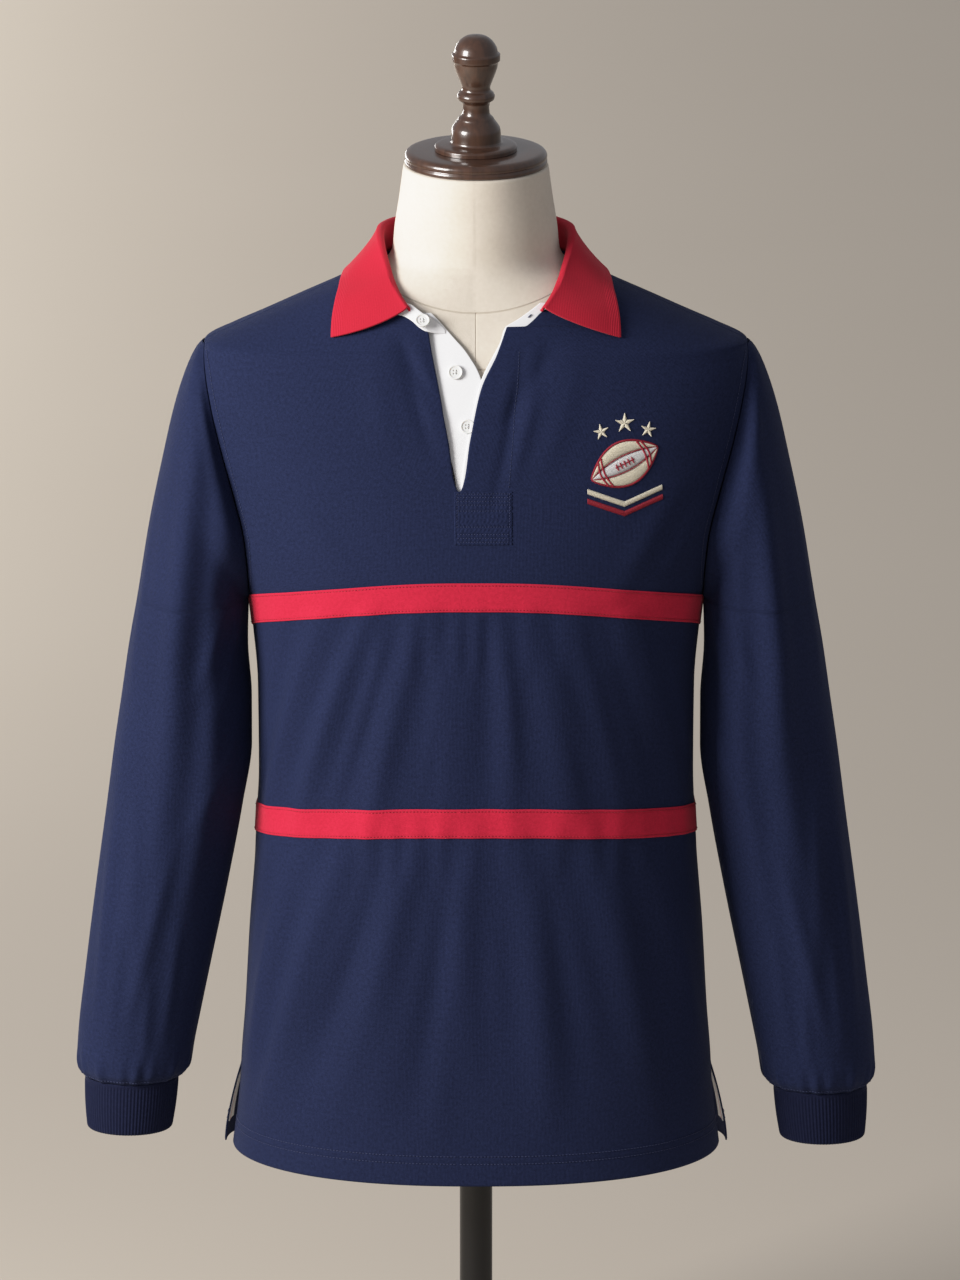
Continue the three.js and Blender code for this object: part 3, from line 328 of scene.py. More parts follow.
def on_head(grid, lift):
    """Stands a turned grid on top of the neck: tipped forward by the cap's tilt, then raised."""
    x, y, z = np.moveaxis(grid, -1, 0)
    z = z + lift
    tipped_y = y * np.cos(CAP_TILT) - z * np.sin(CAP_TILT)
    return np.stack([x, tipped_y, y * np.sin(CAP_TILT) + z * np.cos(CAP_TILT) + NECK_TOP + SEAM], axis=-1)


walnut, start = finish("lacquered_walnut", Coat_Weight=0.85, Coat_Roughness=0.12, Coat_IOR=1.5)
place = start.node("ShaderNodeTexCoord", out=3)
grain_place = start.node("ShaderNodeMapping", {"Vector": place, "Scale": (70.0, 70.0, 9.0)})
grain = noise(grain_place, 3.0, 6.0, Distortion=0.7)
pores = noise(grain_place, 14.0, 2.0)
feed(
    walnut,
    relief=pores,
    depth=0.00006,
    Base_Color=blended(grain, (0.013, 0.0056, 0.0036, 1), (0.098, 0.041, 0.021, 1)),
    Roughness=grain * 0.15 + 0.26,
)
knob_steps = np.linspace(0, FINIAL[-1, 0], 4 * (len(FINIAL) - 1) + 1)
knob_profile = np.stack([fair(FINIAL, 1, knob_steps), fair(FINIAL, 2, knob_steps)], axis=-1)
knob_profile = np.concatenate([[(0, 0)], knob_profile])
cap = shell("walnut_cap", [on_head(turned(CAP), 0)], wrap=True, sharp=50)
fit(cap, walnut, "walnut", "neck_cap")
finial = shell("walnut_finial", [on_head(turned(knob_profile), CAP[-1][1] + SEAM)], wrap=True, sharp=50)
fit(finial, walnut, "walnut", "finial")

# Front and back of the shirt.
# Two panels of heavy navy jersey, joined at the shoulders and down the sides to the vents. The front has a slit for
# the neck opening, to the wearer's right of the middle, and the hem is turned up and sewn with two needles.
CLOTH = 1.3
UNDERARM = 786
SHOULDER_POINT = 1006.5
VENT_TOP = 374
HEM_SIDE = 305
SLIT_X = -14
# How far above the hem its rows of stitches run, and about how wide half a panel is.
HEM_ROWS = (19, 25)
HALF_PANEL = 300
# Height of each sewn band's lower edge at the side, and of the band itself.
BANDS = {"chest": 761, "waist": 581.5}
BAND_HIGH = 25
# Half width of the body at each height.
SIDE = np.array([
    (280, 203), (374, 201.5), (430, 197.5), (500, 193.5), (571, 188), (642, 185), (712, 185.5), (750, 188),
    (786, 192), (844, 209), (882, 219.5), (922, 231), (958, 238), (983, 238.5), (1000, 232.8), (1006.5, 229.5),
    (1016, 211), (1028, 184), (1044, 149), (1060, 114), (1070, 94), (1078, 80.5), (1084, 73.5), (1095, 66),
], float)
# Height, depth in front of the side line and behind it, where that line lies, and how square the section is.
DEPTH = np.array([
    (280, 124, 118, 0, 2.35), (430, 125, 120, 0, 2.35), (600, 125, 121, 0, 2.3), (712, 125, 125, 0, 2.3),
    (786, 124, 131, 1, 2.3), (844, 121, 135, 2, 2.3), (900, 115.5, 137, 4, 2.3), (950, 108, 132, 6, 2.3),
    (1006.5, 93, 111, 8, 2.25), (1040, 80.5, 87, 9, 2.2), (1060, 74, 68, 9, 2.2), (1084, 66, 50, 9, 2.1),
    (1095, 62, 46, 9, 2),
])
# Where the armhole seam lies across the body, at each height.
ARMHOLE = np.array([
    (786, 192), (800, 192.3), (844, 195.5), (882, 204), (922, 215), (958, 223.5), (983, 228), (1000, 229.6),
    (1006.5, 229.5),
])
# How far a level line of the cloth stands higher at the middle of the front and of the back than at the side.
RISE = np.array([
    (280, -5, -2), (305, -5, -2), (374, 2, 2), (450, 11, 6), (582, 24, 12), (607, 24.5, 13), (761, 39.5, 21),
    (786, 39, 22),
])
# Soft folds: the angle and height where each one starts and ends, its half width in degrees and its height.
FOLDS = [
    (-45, 796, -63, 610, 7, 4.2), (-29, 800, -39, 570, 5.5, 2.6), (-9, 790, -13, 600, 4.5, 1.9),
    (11, 800, 13, 600, 4.5, 2.3), (27, 800, 39, 590, 6, 3), (49, 800, 61, 620, 6, 3.2),
    (-51, 590, -64, 400, 7, 4), (-27, 600, -37, 340, 7, 3.6), (-5, 600, -3, 380, 6, 2.5),
    (21, 600, 27, 345, 7, 3), (47, 610, 59, 385, 7, 3.6), (-40, 1030, -17, 965, 4, -2.4),
    (38, 1026, 13, 950, 5, -3), (127, 900, 118, 560, 7, 4), (158, 820, 153, 430, 7, 4.2),
    (183, 780, 186, 380, 6, 3.4), (207, 840, 211, 450, 7, 4), (234, 900, 243, 560, 7, 4),
]
# Finer creases, which only the cloth shows.
CREASES = [
    (-38, 1030, -17, 925, 3.2, -2.2), (-27, 1034, -13, 960, 2.4, -1.6), (-46, 1024, -33, 930, 5, 1.8),
    (24, 1020, 6, 880, 3, -1.8), (31, 1022, 14, 905, 3.4, 2), (46, 1020, 24, 905, 5, 1.6),
    (-60, 905, -42, 800, 5, 1.5), (66, 915, 47, 800, 4, 2.4), (74, 900, 58, 795, 3, 1.8),
    (-72, 890, -60, 795, 3, 1.6), (-52, 800, -76, 600, 3.4, 5.8), (-37, 812, -63, 588, 3.2, 5.2),
    (-31, 790, -50, 620, 2.8, 2.8), (-19, 816, -40, 592, 4, 3.2), (-11, 780, -20, 640, 3, 1),
    (-1, 810, -8, 590, 5, 1.4), (10, 784, 16, 640, 3.2, 0.9), (20, 812, 34, 590, 4.6, 2),
    (35, 800, 54, 586, 4, 2.6), (29, 760, 40, 660, 3, 1.2), (53, 802, 74, 600, 3.6, 3.4),
    (64, 770, 80, 640, 3.2, 2.2), (-44, 806, -69, 596, 2.8, -3), (-27, 806, -51, 596, 2.8, -2),
    (-60, 800, -82, 610, 3, -2.6), (27, 806, 43, 596, 3.2, -1.4), (44, 806, 65, 600, 3.2, -2.2),
    (4, 800, 5, 610, 4.5, -1), (-53, 606, -75, 350, 3.4, -2.6), (-33, 606, -61, 340, 3.8, -2.4),
    (-9, 600, -23, 350, 4.6, -1.2), (50, 606, 69, 320, 3.8, -2.2), (26, 600, 38, 360, 4.6, -1.2),
    (-62, 592, -78, 380, 4, 4.6), (-44, 606, -72, 330, 4.6, 5), (-36, 590, -56, 430, 3.6, 2.2),
    (-22, 606, -50, 340, 5.2, 3.4), (-14, 570, -30, 380, 4.6, 1.5), (-3, 606, -16, 326, 5.6, 1.8),
    (7, 540, 8, 430, 4, 0.7), (16, 604, 28, 330, 6, 1.7), (30, 570, 44, 400, 4.6, 1.4),
    (40, 606, 62, 316, 5, 2.8), (60, 592, 76, 400, 4.2, 2.8), (140, 1000, 150, 820, 6, 1.6),
    (220, 1000, 210, 820, 6, 1.6), (170, 1010, 174, 900, 5, 1.2), (126, 800, 112, 590, 3.4, 3),
    (142, 800, 132, 590, 3.2, 2.6), (158, 802, 152, 590, 3, 2.6), (176, 800, 177, 596, 3, 2.2),
    (193, 800, 198, 590, 3, 2.6), (211, 800, 222, 592, 3.2, 2.8), (231, 800, 246, 596, 3.4, 3),
    (118, 590, 110, 340, 3.6, 2.6), (136, 598, 130, 330, 3.6, 2.8), (155, 590, 158, 350, 3.4, 2.2),
    (172, 600, 168, 330, 3.6, 2.6), (189, 590, 193, 350, 3.4, 2.2), (206, 600, 214, 330, 3.6, 2.8),
    (226, 590, 236, 350, 3.6, 2.6), (244, 600, 250, 380, 3.4, 2.2),
]


def swelling(folds, angle, z):
    """Height of all folds at a place: each is a bell across its own line, and fades at both ends by a sine."""
    total = 0 * angle
    for top_angle, top_z, foot_angle, foot_z, half_width, height in folds:
        along = np.clip((top_z - z) / (top_z - foot_z), 0, 1)
        aside = np.degrees(angle) - (top_angle + (foot_angle - top_angle) * along)
        aside = (aside + 180) % 360 - 180
        total = total + height * np.sin(np.pi * along) ** 0.8 * np.exp(-((aside / half_width) ** 2))
    return total


def plain_radius(angle, z):
    """Distance of the body's plain skin from its middle."""
    depth = np.where(np.cos(angle) >= 0, fair(DEPTH, 1, z), fair(DEPTH, 2, z))
    return section(angle, fair(SIDE, 1, z), depth, fair(DEPTH, 4, z))


def vent_flare(angle, z):
    """How far the vents' edges stand off: a bell about the side line that grows to the hem, more on the back."""
    down = np.clip((VENT_TOP - z) / (VENT_TOP - HEM_SIDE), 0, 1)
    from_edge = np.degrees(np.arcsin(np.clip(np.abs(np.cos(angle)), 0, 1)))
    stand = np.where(np.cos(angle) < 0, 13 * (1 - (1 - down) ** 1.6), 6 * down**1.4)
    return np.exp(-((from_edge / 15) ** 2)) * stand


def puckers(angle, z):
    """Short puckers that a sewn band draws in the cloth: two waves round the body that fade away from its edges."""
    total = 0 * angle
    for foot, start in zip(BANDS.values(), (0.4, 2.3)):
        fade = np.exp(-((np.maximum(np.maximum(foot - z, z - foot - BAND_HIGH), 0) / 15) ** 2))
        waves = 0.5 * np.sin(33 * angle + 3 * np.sin(4 * angle + start)) + 0.07 * np.sin(59 * angle + start)
        total = total + fade * waves
    return total


def body_skin(angle, z):
    """Point of the shirt's outer skin: the plain section with folds, creases, puckers and the vents' flare added."""
    radius = plain_radius(angle, z) + swelling(FOLDS + CREASES, angle, z) + puckers(angle, z) + vent_flare(angle, z)
    return np.stack([radius * np.sin(angle), fair(DEPTH, 3, z) - radius * np.cos(angle), z + 0 * angle], axis=-1)


def facing_out(skin, u, v, du, dv):
    """Unit normal of a skin: the cross of two short steps on it."""
    normal = np.cross(skin(u + du, v) - skin(u - du, v), skin(u, v + dv) - skin(u, v - dv))
    return normal / np.linalg.norm(normal, axis=-1, keepdims=True)


def body_normal(angle, z):
    """Unit normal of the shirt's outer skin."""
    return facing_out(body_skin, angle, z, 0.007, 0.5)


def on_body(angle, z, lift=0.0):
    """Point off the body's skin, moved out along its normal."""
    angle, z = np.broadcast_arrays(np.asarray(angle, float), np.asarray(z, float))
    return body_skin(angle, z) + body_normal(angle, z) * np.asarray(lift, float)[..., None]


def angle_at_x(x, z, back=False):
    """Angle at which a section passes a given x, from its own middle."""
    share = np.minimum(np.abs(x) / fair(SIDE, 1, z), 1)
    power = fair(DEPTH, 4, z)
    depth = fair(DEPTH, 2 if back else 1, z) * (1 - share**power) ** (1 / power)
    return np.arctan2(np.abs(x), depth) * np.where(x < 0, -1, 1)


# Height of the neckline at each angle from the front.
NECKLINE = np.array([
    (0, 1033), (17, 1034.3), (26.6, 1034.5), (31, 1038.5), (36, 1045), (42, 1050.5), (48, 1055.5), (60, 1063),
    (72, 1069), (90, 1075), (102, 1078), (118, 1078.5), (150, 1076), (180, 1074.5),
])
# Rows of the panels over the chest: number, height at the side, then height and x where a row ends at the slit or
# at the middle.
RIGHT_ROWS = np.array([
    (0, 786, 826, -14), (1, 838, 870, -14), (2, 880, 901, -14), (2.05, 882.2, 902.4, -15.5),
    (3, 925, 944, -23.2), (4, 968, 985, -31.5), (5, 1006.5, 1016, -37.8),
])
LEFT_ROWS = np.array([
    (0, 786, 826, -14), (1, 838, 870, -14), (2, 880, 901, -14), (2.05, 882.2, 902.4, -12.5),
    (3, 925, 944, -4.8), (4, 968, 985, 4.3), (5, 1006.5, 1012, 17.3),
])
BACK_ROWS = np.array([
    (0, 786, 808, 0), (1, 838, 858, 0), (2, 880, 899, 0), (3, 925, 942, 0), (4, 968, 982, 0), (5, 1006.5, 1018, 0),
    (6, 1024, 1037, 0), (7, 1041, 1056, 0),
])
# From the corner up, a row ends on the neckline at an angle.
RIGHT_NECK = np.array([(6, 1024, 26.6), (7, 1041, 36), (8, 1056, 48), (9, 1067, 65), (10, 1074, 83)])
LEFT_NECK = np.array([(6, 1024, 17.5), (7, 1041, 32), (8, 1056, 47), (9, 1067, 65), (10, 1074, 83)])
BACK_NECK = np.array([(8, 1056, 180), (9, 1067, 135), (10, 1074, 98)])


def seam_angle(z):
    """Half of a seam's space, as an angle seen from the middle of the body."""
    return (SEAM / 2 + 0.05) / fair(SIDE, 1, z)


def side_angle(z, back):
    """Angle of a panel's outer edge: the side seam, the armhole or the shoulder seam."""
    armhole = angle_at_x(fair(ARMHOLE, 1, z), z, back)
    return np.where((z <= UNDERARM) | (z >= SHOULDER_POINT), np.pi / 2, armhole)


def lower_rows(side_z, back):
    """Ends of the panel's rows below the underarm, each by height and angle."""
    end_x = 0 * side_z if back else SLIT_X + 0 * side_z
    end_z = side_z + fair(RISE, 2 if back else 1, side_z)
    opened = 0 if back else np.radians(1.4) * (side_z < VENT_TOP)
    return side_z, np.pi / 2 - seam_angle(side_z) - opened, end_z, angle_at_x(end_x, end_z)


def upper_rows(number, back, side):
    """Ends of the panel's rows above the underarm, by the row's number with a fraction."""
    rows, neck = (LEFT_ROWS, LEFT_NECK) if side > 0 else (RIGHT_ROWS, RIGHT_NECK)
    if back:
        rows, neck = BACK_ROWS, BACK_NECK
    corner = neck[0, 0]
    corner_angle = np.radians(neck[0, 2])
    corner_z = fair(NECKLINE, 1, neck[0, 2])
    corner_x = plain_radius(corner_angle, corner_z) * np.sin(corner_angle) * side * (not back)
    rows = np.vstack([rows, (corner, neck[0, 1], corner_z, corner_x)])
    side_table = np.vstack([rows[:, :2], neck[1:, :2]])
    side_z = np.interp(number, side_table[:, 0], side_table[:, 1])
    seam = seam_angle(side_z) * np.where((side_z <= UNDERARM) | (side_z >= SHOULDER_POINT), 1, 1.6)
    on_neck = fair(neck, 2, number)
    end_z = np.where(number >= corner, fair(NECKLINE, 1, on_neck), fair(rows, 2, number))
    on_slit = angle_at_x(fair(rows, 3, number), end_z, back)
    neck_angle = np.pi - np.radians(on_neck) if back else np.radians(on_neck)
    end_angle = np.where(number >= corner, neck_angle * side, on_slit)
    return side_z, side_angle(side_z, back) - seam, end_z, end_angle


def half_panel(rows, side, back, shares, lift):
    """Grid of half a panel, from its outer edge to its end line. A row's height falls from the end to the side as
    (1 - cos angle) to the power 1.35, the way a level line of worn cloth does. The lift is a function of the height
    and the share, in millimetres off the skin."""
    side_z, start_angle, end_z, end_angle = (np.asarray(part, float)[:, None] for part in rows)
    begin = start_angle * side
    own = begin + (end_angle - begin) * shares
    fall = lambda angle: (1 - np.cos(angle)) ** 1.35
    span = fall(begin) - fall(end_angle)
    way = np.clip((fall(own) - fall(end_angle)) / np.where(span == 0, 1, span), 0, 1)
    z = end_z + (side_z - end_z) * way
    grid = on_body(np.pi - own if back else own, z, lift(z, shares))
    return grid[:, ::-1] if (side > 0) != back else grid


def ends_lift(depth, reach, at_end):
    """How a panel's edge rolls in: by a square law over the last millimetres before its seam, and before the slit.
    Past the seam, where the share is negative, the allowance lies under the next piece."""

    def lift(z, shares):
        from_edge = shares * HALF_PANEL
        rolled = -depth * np.clip(1 - from_edge / reach, 0, 1) ** 2 - 1.5 * (shares < 0)
        if at_end:
            from_slit = (1 - shares) * HALF_PANEL
            rolled = rolled - 0.8 * np.clip(1 - from_slit / 2.6, 0, 1) ** 2 * soft_step(z, 898, 906)
        return rolled + 0 * z

    return lift


def hem_lift(side_z):
    """The turned-up hem stands 0.4 mm proud, sinks where its two rows of stitches pull, and rounds over at its
    foot."""
    up = side_z - HEM_SIDE
    pulled = 0.3 * sum(np.exp(-(((up - row) / 1.1) ** 2)) for row in HEM_ROWS)
    return 0.4 * (1 - soft_step(up, 24.5, 27)) - pulled * (up < 40) - 0.7 * np.clip(1 - up / 1.6, 0, 1) ** 2


def panel(name, back):
    """A whole panel: two half grids of body skin, from the hem up to the underarm and on to the neck point."""
    near = np.array([0, 0.0025, 0.006, 0.011, 0.018, 0.028])
    shares = np.concatenate([[-0.013, -0.003], near, np.linspace(0.042, 0.958, 72), 1 - near[::-1]])
    low_z = np.concatenate([
        [305, 305.4, 306.3, 308, 312, 317, 321, 323, 324, 325, 327, 329, 330, 331, 333], np.linspace(337, 786, 104),
    ])
    number = np.concatenate([[0.06, 0.15, 0.3, 0.5], np.arange(0.58, 5, 0.0834), np.linspace(5, 10, 60)])
    number = np.sort(np.append(number, [2.0, 2.05, 6.0]))
    grids, maps = [], []
    for side in (-1, 1):
        rows = [np.concatenate(parts) for parts in zip(lower_rows(low_z, back), upper_rows(number, back, side))]
        roll = ends_lift(0.3, 2.2, not back)
        hem = hem_lift(rows[0])[:, None]
        allowed = (rows[0] > UNDERARM) & (rows[0] < SHOULDER_POINT) if back else rows[0] > VENT_TOP + 6
        way = np.where(allowed[:, None], shares, np.maximum(shares, 0))
        keep = soft_step(rows[0], 366, 380)[:, None]
        grid = half_panel(rows, side, back, way, lambda z, s: roll(z, s) * keep + hem)
        flipped = (side > 0) != back
        flat = lengths(grid)
        flat[..., 0] -= 0 if flipped else flat[:, -1:, 0]
        grids.append(grid)
        maps.append(flat)
    return shell(name, grids, maps=maps, join=0.00001, thick=CLOTH), grids


def jersey(name, dark, light, wale=0.00115, relief=0.0002, **uniform):
    """Heavy knit: wales and courses as two waves on the cloth's map, loops between them, and flecks in the dye."""
    material, start = finish(name, **uniform)
    flat = start.node("ShaderNodeTexCoord", out=2)
    wander = noise(flat, 14.0, 2.0) * 0.004
    across, up = ways(flat, 0, 1)
    wales = ((across + wander) * (2 * np.pi / wale)).wave()
    loops = ((up + wander + wales * 0.0003) * (2 * np.pi / (wale * 0.78))).wave()
    fleck = noise(flat, 760.0, Roughness=0.65)
    cloud = noise(flat, 9.0)
    heather = noise(flat, 330.0, 4.0, Roughness=0.7)
    shade = fleck * 0.8 + heather * 1.2 + cloud * 0.2 + wales * 0.09 + loops * 0.07 - 0.62
    feed(
        material,
        relief=wales * 0.45 + loops * 0.25 + fleck * 0.7 + heather * 0.9,
        depth=relief,
        Base_Color=blended(shade, dark, light),
        Roughness=fleck * 0.1 + 0.8,
    )
    return material


NAVY_SHEEN = dict(
    Specular_IOR_Level=0.12, Sheen_Weight=0.06, Sheen_Roughness=0.5, Sheen_Tint=(0.35, 0.42, 0.75, 1)
)
navy_jersey = jersey("navy_jersey", (0.0042, 0.0066, 0.0225, 1), (0.0188, 0.0268, 0.079, 1), **NAVY_SHEEN)


def grid_area(grids):
    """Area of grids in square metres: half the cross of each cell's diagonals."""
    total = 0
    for grid in grids:
        cross = np.cross(grid[1:, 1:] - grid[:-1, :-1], grid[1:, :-1] - grid[:-1, 1:])
        total += np.linalg.norm(cross, axis=-1).sum() / 2
    return total * 1e-6


for name, back in (("front", False), ("back", True)):
    made, grids = panel(f"jersey_{name}", back)
    fit(made, navy_jersey, "navy_jersey", name)
    round(grid_area(grids), 3)

# Sewn bands.
# Two bands of red jersey, 25 mm wide with their edges turned under, lie round the chest and the waist. They are
# sewn on the panels before the side seams are closed, one row of red stitches along each edge.
BAND_CLOTH = 0.9
# How far above a band's lower edge its rows of stitches run.
BAND_ROWS = (2.1, 22.9)
RED_SHEEN = dict(Specular_IOR_Level=0.2, Sheen_Weight=0.05, Sheen_Roughness=0.5)
red_jersey = jersey(
    "red_band_jersey", (0.38, 0.009, 0.028, 1), (0.64, 0.020, 0.060, 1), wale=0.0009, relief=0.00012, **RED_SHEEN
)
band_up = np.array([0, 0.25, 0.8, 1.5, 2.1, 3, 5, 9, 12.5, 16, 20, 22, 22.9, 23.5, 24.2, 24.75, 25])
band_shares = np.concatenate([[0, 0.003, 0.007, 0.014], np.linspace(0.024, 1, 60)])
for name, foot in BANDS.items():
    for where, back in (("front", False), ("back", True)):
        rows = lower_rows(foot + band_up, back)
        turned_under = -0.45 * (np.clip(1 - band_up, 0, 1) ** 2 + np.clip(1 - (BAND_HIGH - band_up), 0, 1) ** 2)
        pulled = -0.22 * sum(np.exp(-(((band_up - row) / 0.6) ** 2)) for row in BAND_ROWS)
        proud = (SEAM + BAND_CLOTH + turned_under + pulled)[:, None]
        roll = ends_lift(0.9, 3.2, False)
        lift = lambda z, s: roll(z, s) + proud
        grids = [half_panel(rows, side, back, band_shares, lift) for side in (-1, 1)]
        made = shell(f"{name}_band_{where}_cloth", grids, join=0.00001, thick=BAND_CLOTH - 0.1)
        fit(made, red_jersey, "red_band", f"{name}_band_{where}")
        across = grid_area(grids) / 0.025

# Sleeves.
# Each sleeve is one piece of navy jersey, sewn into the armhole and then closed along its inner side. Its end is
# gathered into the cuff. The wearer's left sleeve hangs 8 mm longer.
CUFF_TOP = 368
CUFF_FOOT = 322
SLEEVE_DROP = 8
# About how far it is round a sleeve, above the underarm and below it.
ROUND_HEAD, ROUND_ARM = 200, 330
# Height, outer side, inner side, half depth and where the middle lies.
SLEEVE = np.array([
    (368, 334.5, 254.5, 37.5, -12), (376, 340, 246.5, 43.5, -12), (386, 341.6, 243.5, 45, -12),
    (405, 340.5, 239.5, 46, -11), (465, 333.5, 227, 49, -9), (536, 324.3, 212, 52.5, -6),
    (607, 314.5, 198.5, 56, -4), (660, 307.5, 190.6, 58.5, -2), (700, 301.5, 190.6, 60.5, -1),
    (747, 294.5, 193.6, 63, 0), (786, 287.5, 192.6, 65, 1), (850, 277, 190, 66, 3), (903, 266, 190, 63, 5),
    (956, 253.5, 199, 52, 7), (990, 241.5, 212, 40, 8), (1000, 236, 218, 30, 8), (1006.5, 230.6, 224, 12, 8),
])
# Folds and creases of a sleeve, in the same order of values as the body's.
SLEEVE_FOLDS = [
    (112, 930, 96, 640, 13, 3.5), (58, 800, 70, 470, 14, 3), (150, 700, 128, 400, 14, 2.5),
    (235, 880, 250, 600, 14, 3.2), (300, 720, 285, 420, 14, 3),
]
SLEEVE_CREASES = [
    (104, 985, 97, 395, 15, 5.5), (70, 900, 66, 520, 9, 2.6), (128, 640, 104, 470, 8, 3),
    (84, 600, 101, 420, 7, 2.6), (25, 800, 60, 690, 6, 1.8), (40, 830, 85, 700, 7, 1.8),
    (30, 700, 75, 590, 7, 1.6), (122, 560, 116, 400, 7, 2.2), (70, 520, 62, 400, 6, 1.8),
    (146, 600, 134, 420, 8, 1.8), (160, 900, 150, 700, 8, 1.6), (88, 470, 80, 385, 5, 1.6),
    (210, 860, 222, 640, 8, 2.2), (255, 620, 262, 410, 8, 2.6), (200, 520, 205, 400, 7, 1.8),
    (268, 940, 262, 560, 14, 4), (320, 800, 290, 690, 7, 2.2), (340, 640, 300, 540, 7, 2),
    (236, 560, 248, 430, 7, 2.2),
]


def sleeve_skin(angle, z):
    """Point of a sleeve: an ellipse at each height, swollen by its folds and, near the cuff, by the gathers."""
    outer, inner = fair(SLEEVE, 1, z), fair(SLEEVE, 2, z)
    gathers = 0.6 * np.sin(17 * angle + 1.1 + np.sin(4 * angle)) + 0.35 * np.sin(26 * angle + 0.4)
    gathers = gathers + 0.3 * np.sin(9 * angle)
    out = swelling(SLEEVE_FOLDS + SLEEVE_CREASES, angle, z) + 1.5 * gathers * np.exp(-(((z - 375) / 14) ** 2))
    x = (outer + inner) / 2 - ((outer - inner) / 2 + out) * np.cos(angle)
    return np.stack([x, fair(SLEEVE, 4, z) - (fair(SLEEVE, 3, z) + out) * np.sin(angle), z + 0 * angle], axis=-1)


def armhole_end(z, back):
    """Where the armhole seam runs at a height, and the angle at which the sleeve's ellipse comes to it."""
    angle = side_angle(z, back)
    point = body_skin(np.pi - angle if back else angle, z)
    outer, inner = fair(SLEEVE, 1, z), fair(SLEEVE, 2, z)
    across = (outer + inner) / 2 - point[..., 0]
    forward = np.abs(fair(SLEEVE, 4, z) - point[..., 1])
    met = np.arctan2(forward / fair(SLEEVE, 3, z), across / ((outer - inner) / 2))
    return point, 2 * np.pi - met if back else met


def sleeve_way(share, z):
    """Point of a sleeve by the share of the way round. Over the underarm both ends are drawn on to the armhole
    seam, less and less over 12 degrees at the underarm and over 50 higher up."""
    share, z = np.broadcast_arrays(share, z)
    over = z >= UNDERARM
    front, front_angle = armhole_end(np.maximum(z, UNDERARM), False)
    rear, rear_angle = armhole_end(np.maximum(z, UNDERARM), True)
    angle = np.where(over, front_angle + (rear_angle - front_angle) * share, share * 2 * np.pi)
    point = sleeve_skin(angle, z)
    reach = np.radians(12 + 38 * soft_step(z, UNDERARM, 870))
    for end, end_angle in ((front, front_angle), (rear, rear_angle)):
        near = (1 - soft_step(np.abs(angle - end_angle) / reach, 0, 1)) * over
        point = point + (end - sleeve_skin(end_angle, z)) * near[..., None]
    point[..., 0] += 0.1
    return point


def sleeve_grid(side, levels, shares):
    """Grid of a sleeve, with the seam groove, the ridge by the armhole and the drop of the wearer's left one. The
    left ridge lies further out, and the cloth dips between it and the armhole."""
    z, s = levels[:, None] + 0 * shares, shares + 0 * levels[:, None]
    at = sleeve_way(s, z)
    normal = np.cross(np.gradient(at, axis=1), np.gradient(at, axis=0))
    normal /= np.maximum(np.linalg.norm(normal, axis=-1, keepdims=True), 1e-9)
    from_seam = np.minimum(s, 1 - s) * np.where(z > UNDERARM, ROUND_HEAD, ROUND_ARM)
    groove = -0.3 * np.clip(1 - from_seam / 2.2, 0, 1) ** 2
    crest, spread, dip = (27, 10, 2.4) if side > 0 else (15, 8, 0)
    ridge = 3.4 * np.exp(-(((from_seam - crest) / spread) ** 2)) - dip * np.exp(-(((from_seam - 9) / 6) ** 2))
    ridge = ridge * soft_step(z, 790, 840) * (1 - soft_step(z, 930, 985))
    at = at + normal * ((groove + ridge) * (1 - soft_step(z, 996, 1003)))[..., None]
    at[..., 0] *= side
    at[..., 2] -= SLEEVE_DROP * np.clip((UNDERARM - z) / (UNDERARM - CUFF_TOP), 0, 1) * (side > 0)
    return at if side > 0 else at[:, ::-1]


near = np.array([0, 0.003, 0.007, 0.013, 0.021])
sleeve_shares = np.concatenate([near, np.linspace(0.032, 0.968, 108), 1 - near[::-1]])
sleeve_levels = np.concatenate([
    [368.3, 369.5, 371, 373, 375, 377.5, 380, 383, 386.5, 390], np.linspace(395, 786, 84),
    np.linspace(790, 990, 46), [993, 996, 999, 1001.5, 1003.5, 1005, 1005.8],
])
for name, side in (("left", 1), ("right", -1)):
    grid = sleeve_grid(side, sleeve_levels, sleeve_shares)
    made = shell(f"jersey_sleeve_{name}", [grid], join=0.00001, thick=CLOTH)
    fit(made, navy_jersey, "navy_jersey", f"sleeve_{name}")
    area = grid_area([grid])

# Cuffs.
# A cuff is a folded tube of navy rib knit, sewn to the gathered sleeve. Its ribs run down to a rounded fold.
RIB_KNIT = 1.8
RIBS = 84
# The rib knit's navy is painted darker than the jersey's, to about 0.6 of it: painted shade between the ribs over the
# real navy.
navy_rib = jersey(
    "navy_rib_knit_painted_shade", (0.0032, 0.0044, 0.0155, 1), (0.0112, 0.0148, 0.046, 1), wale=0.0007, relief=0.0001, **NAVY_SHEEN
)


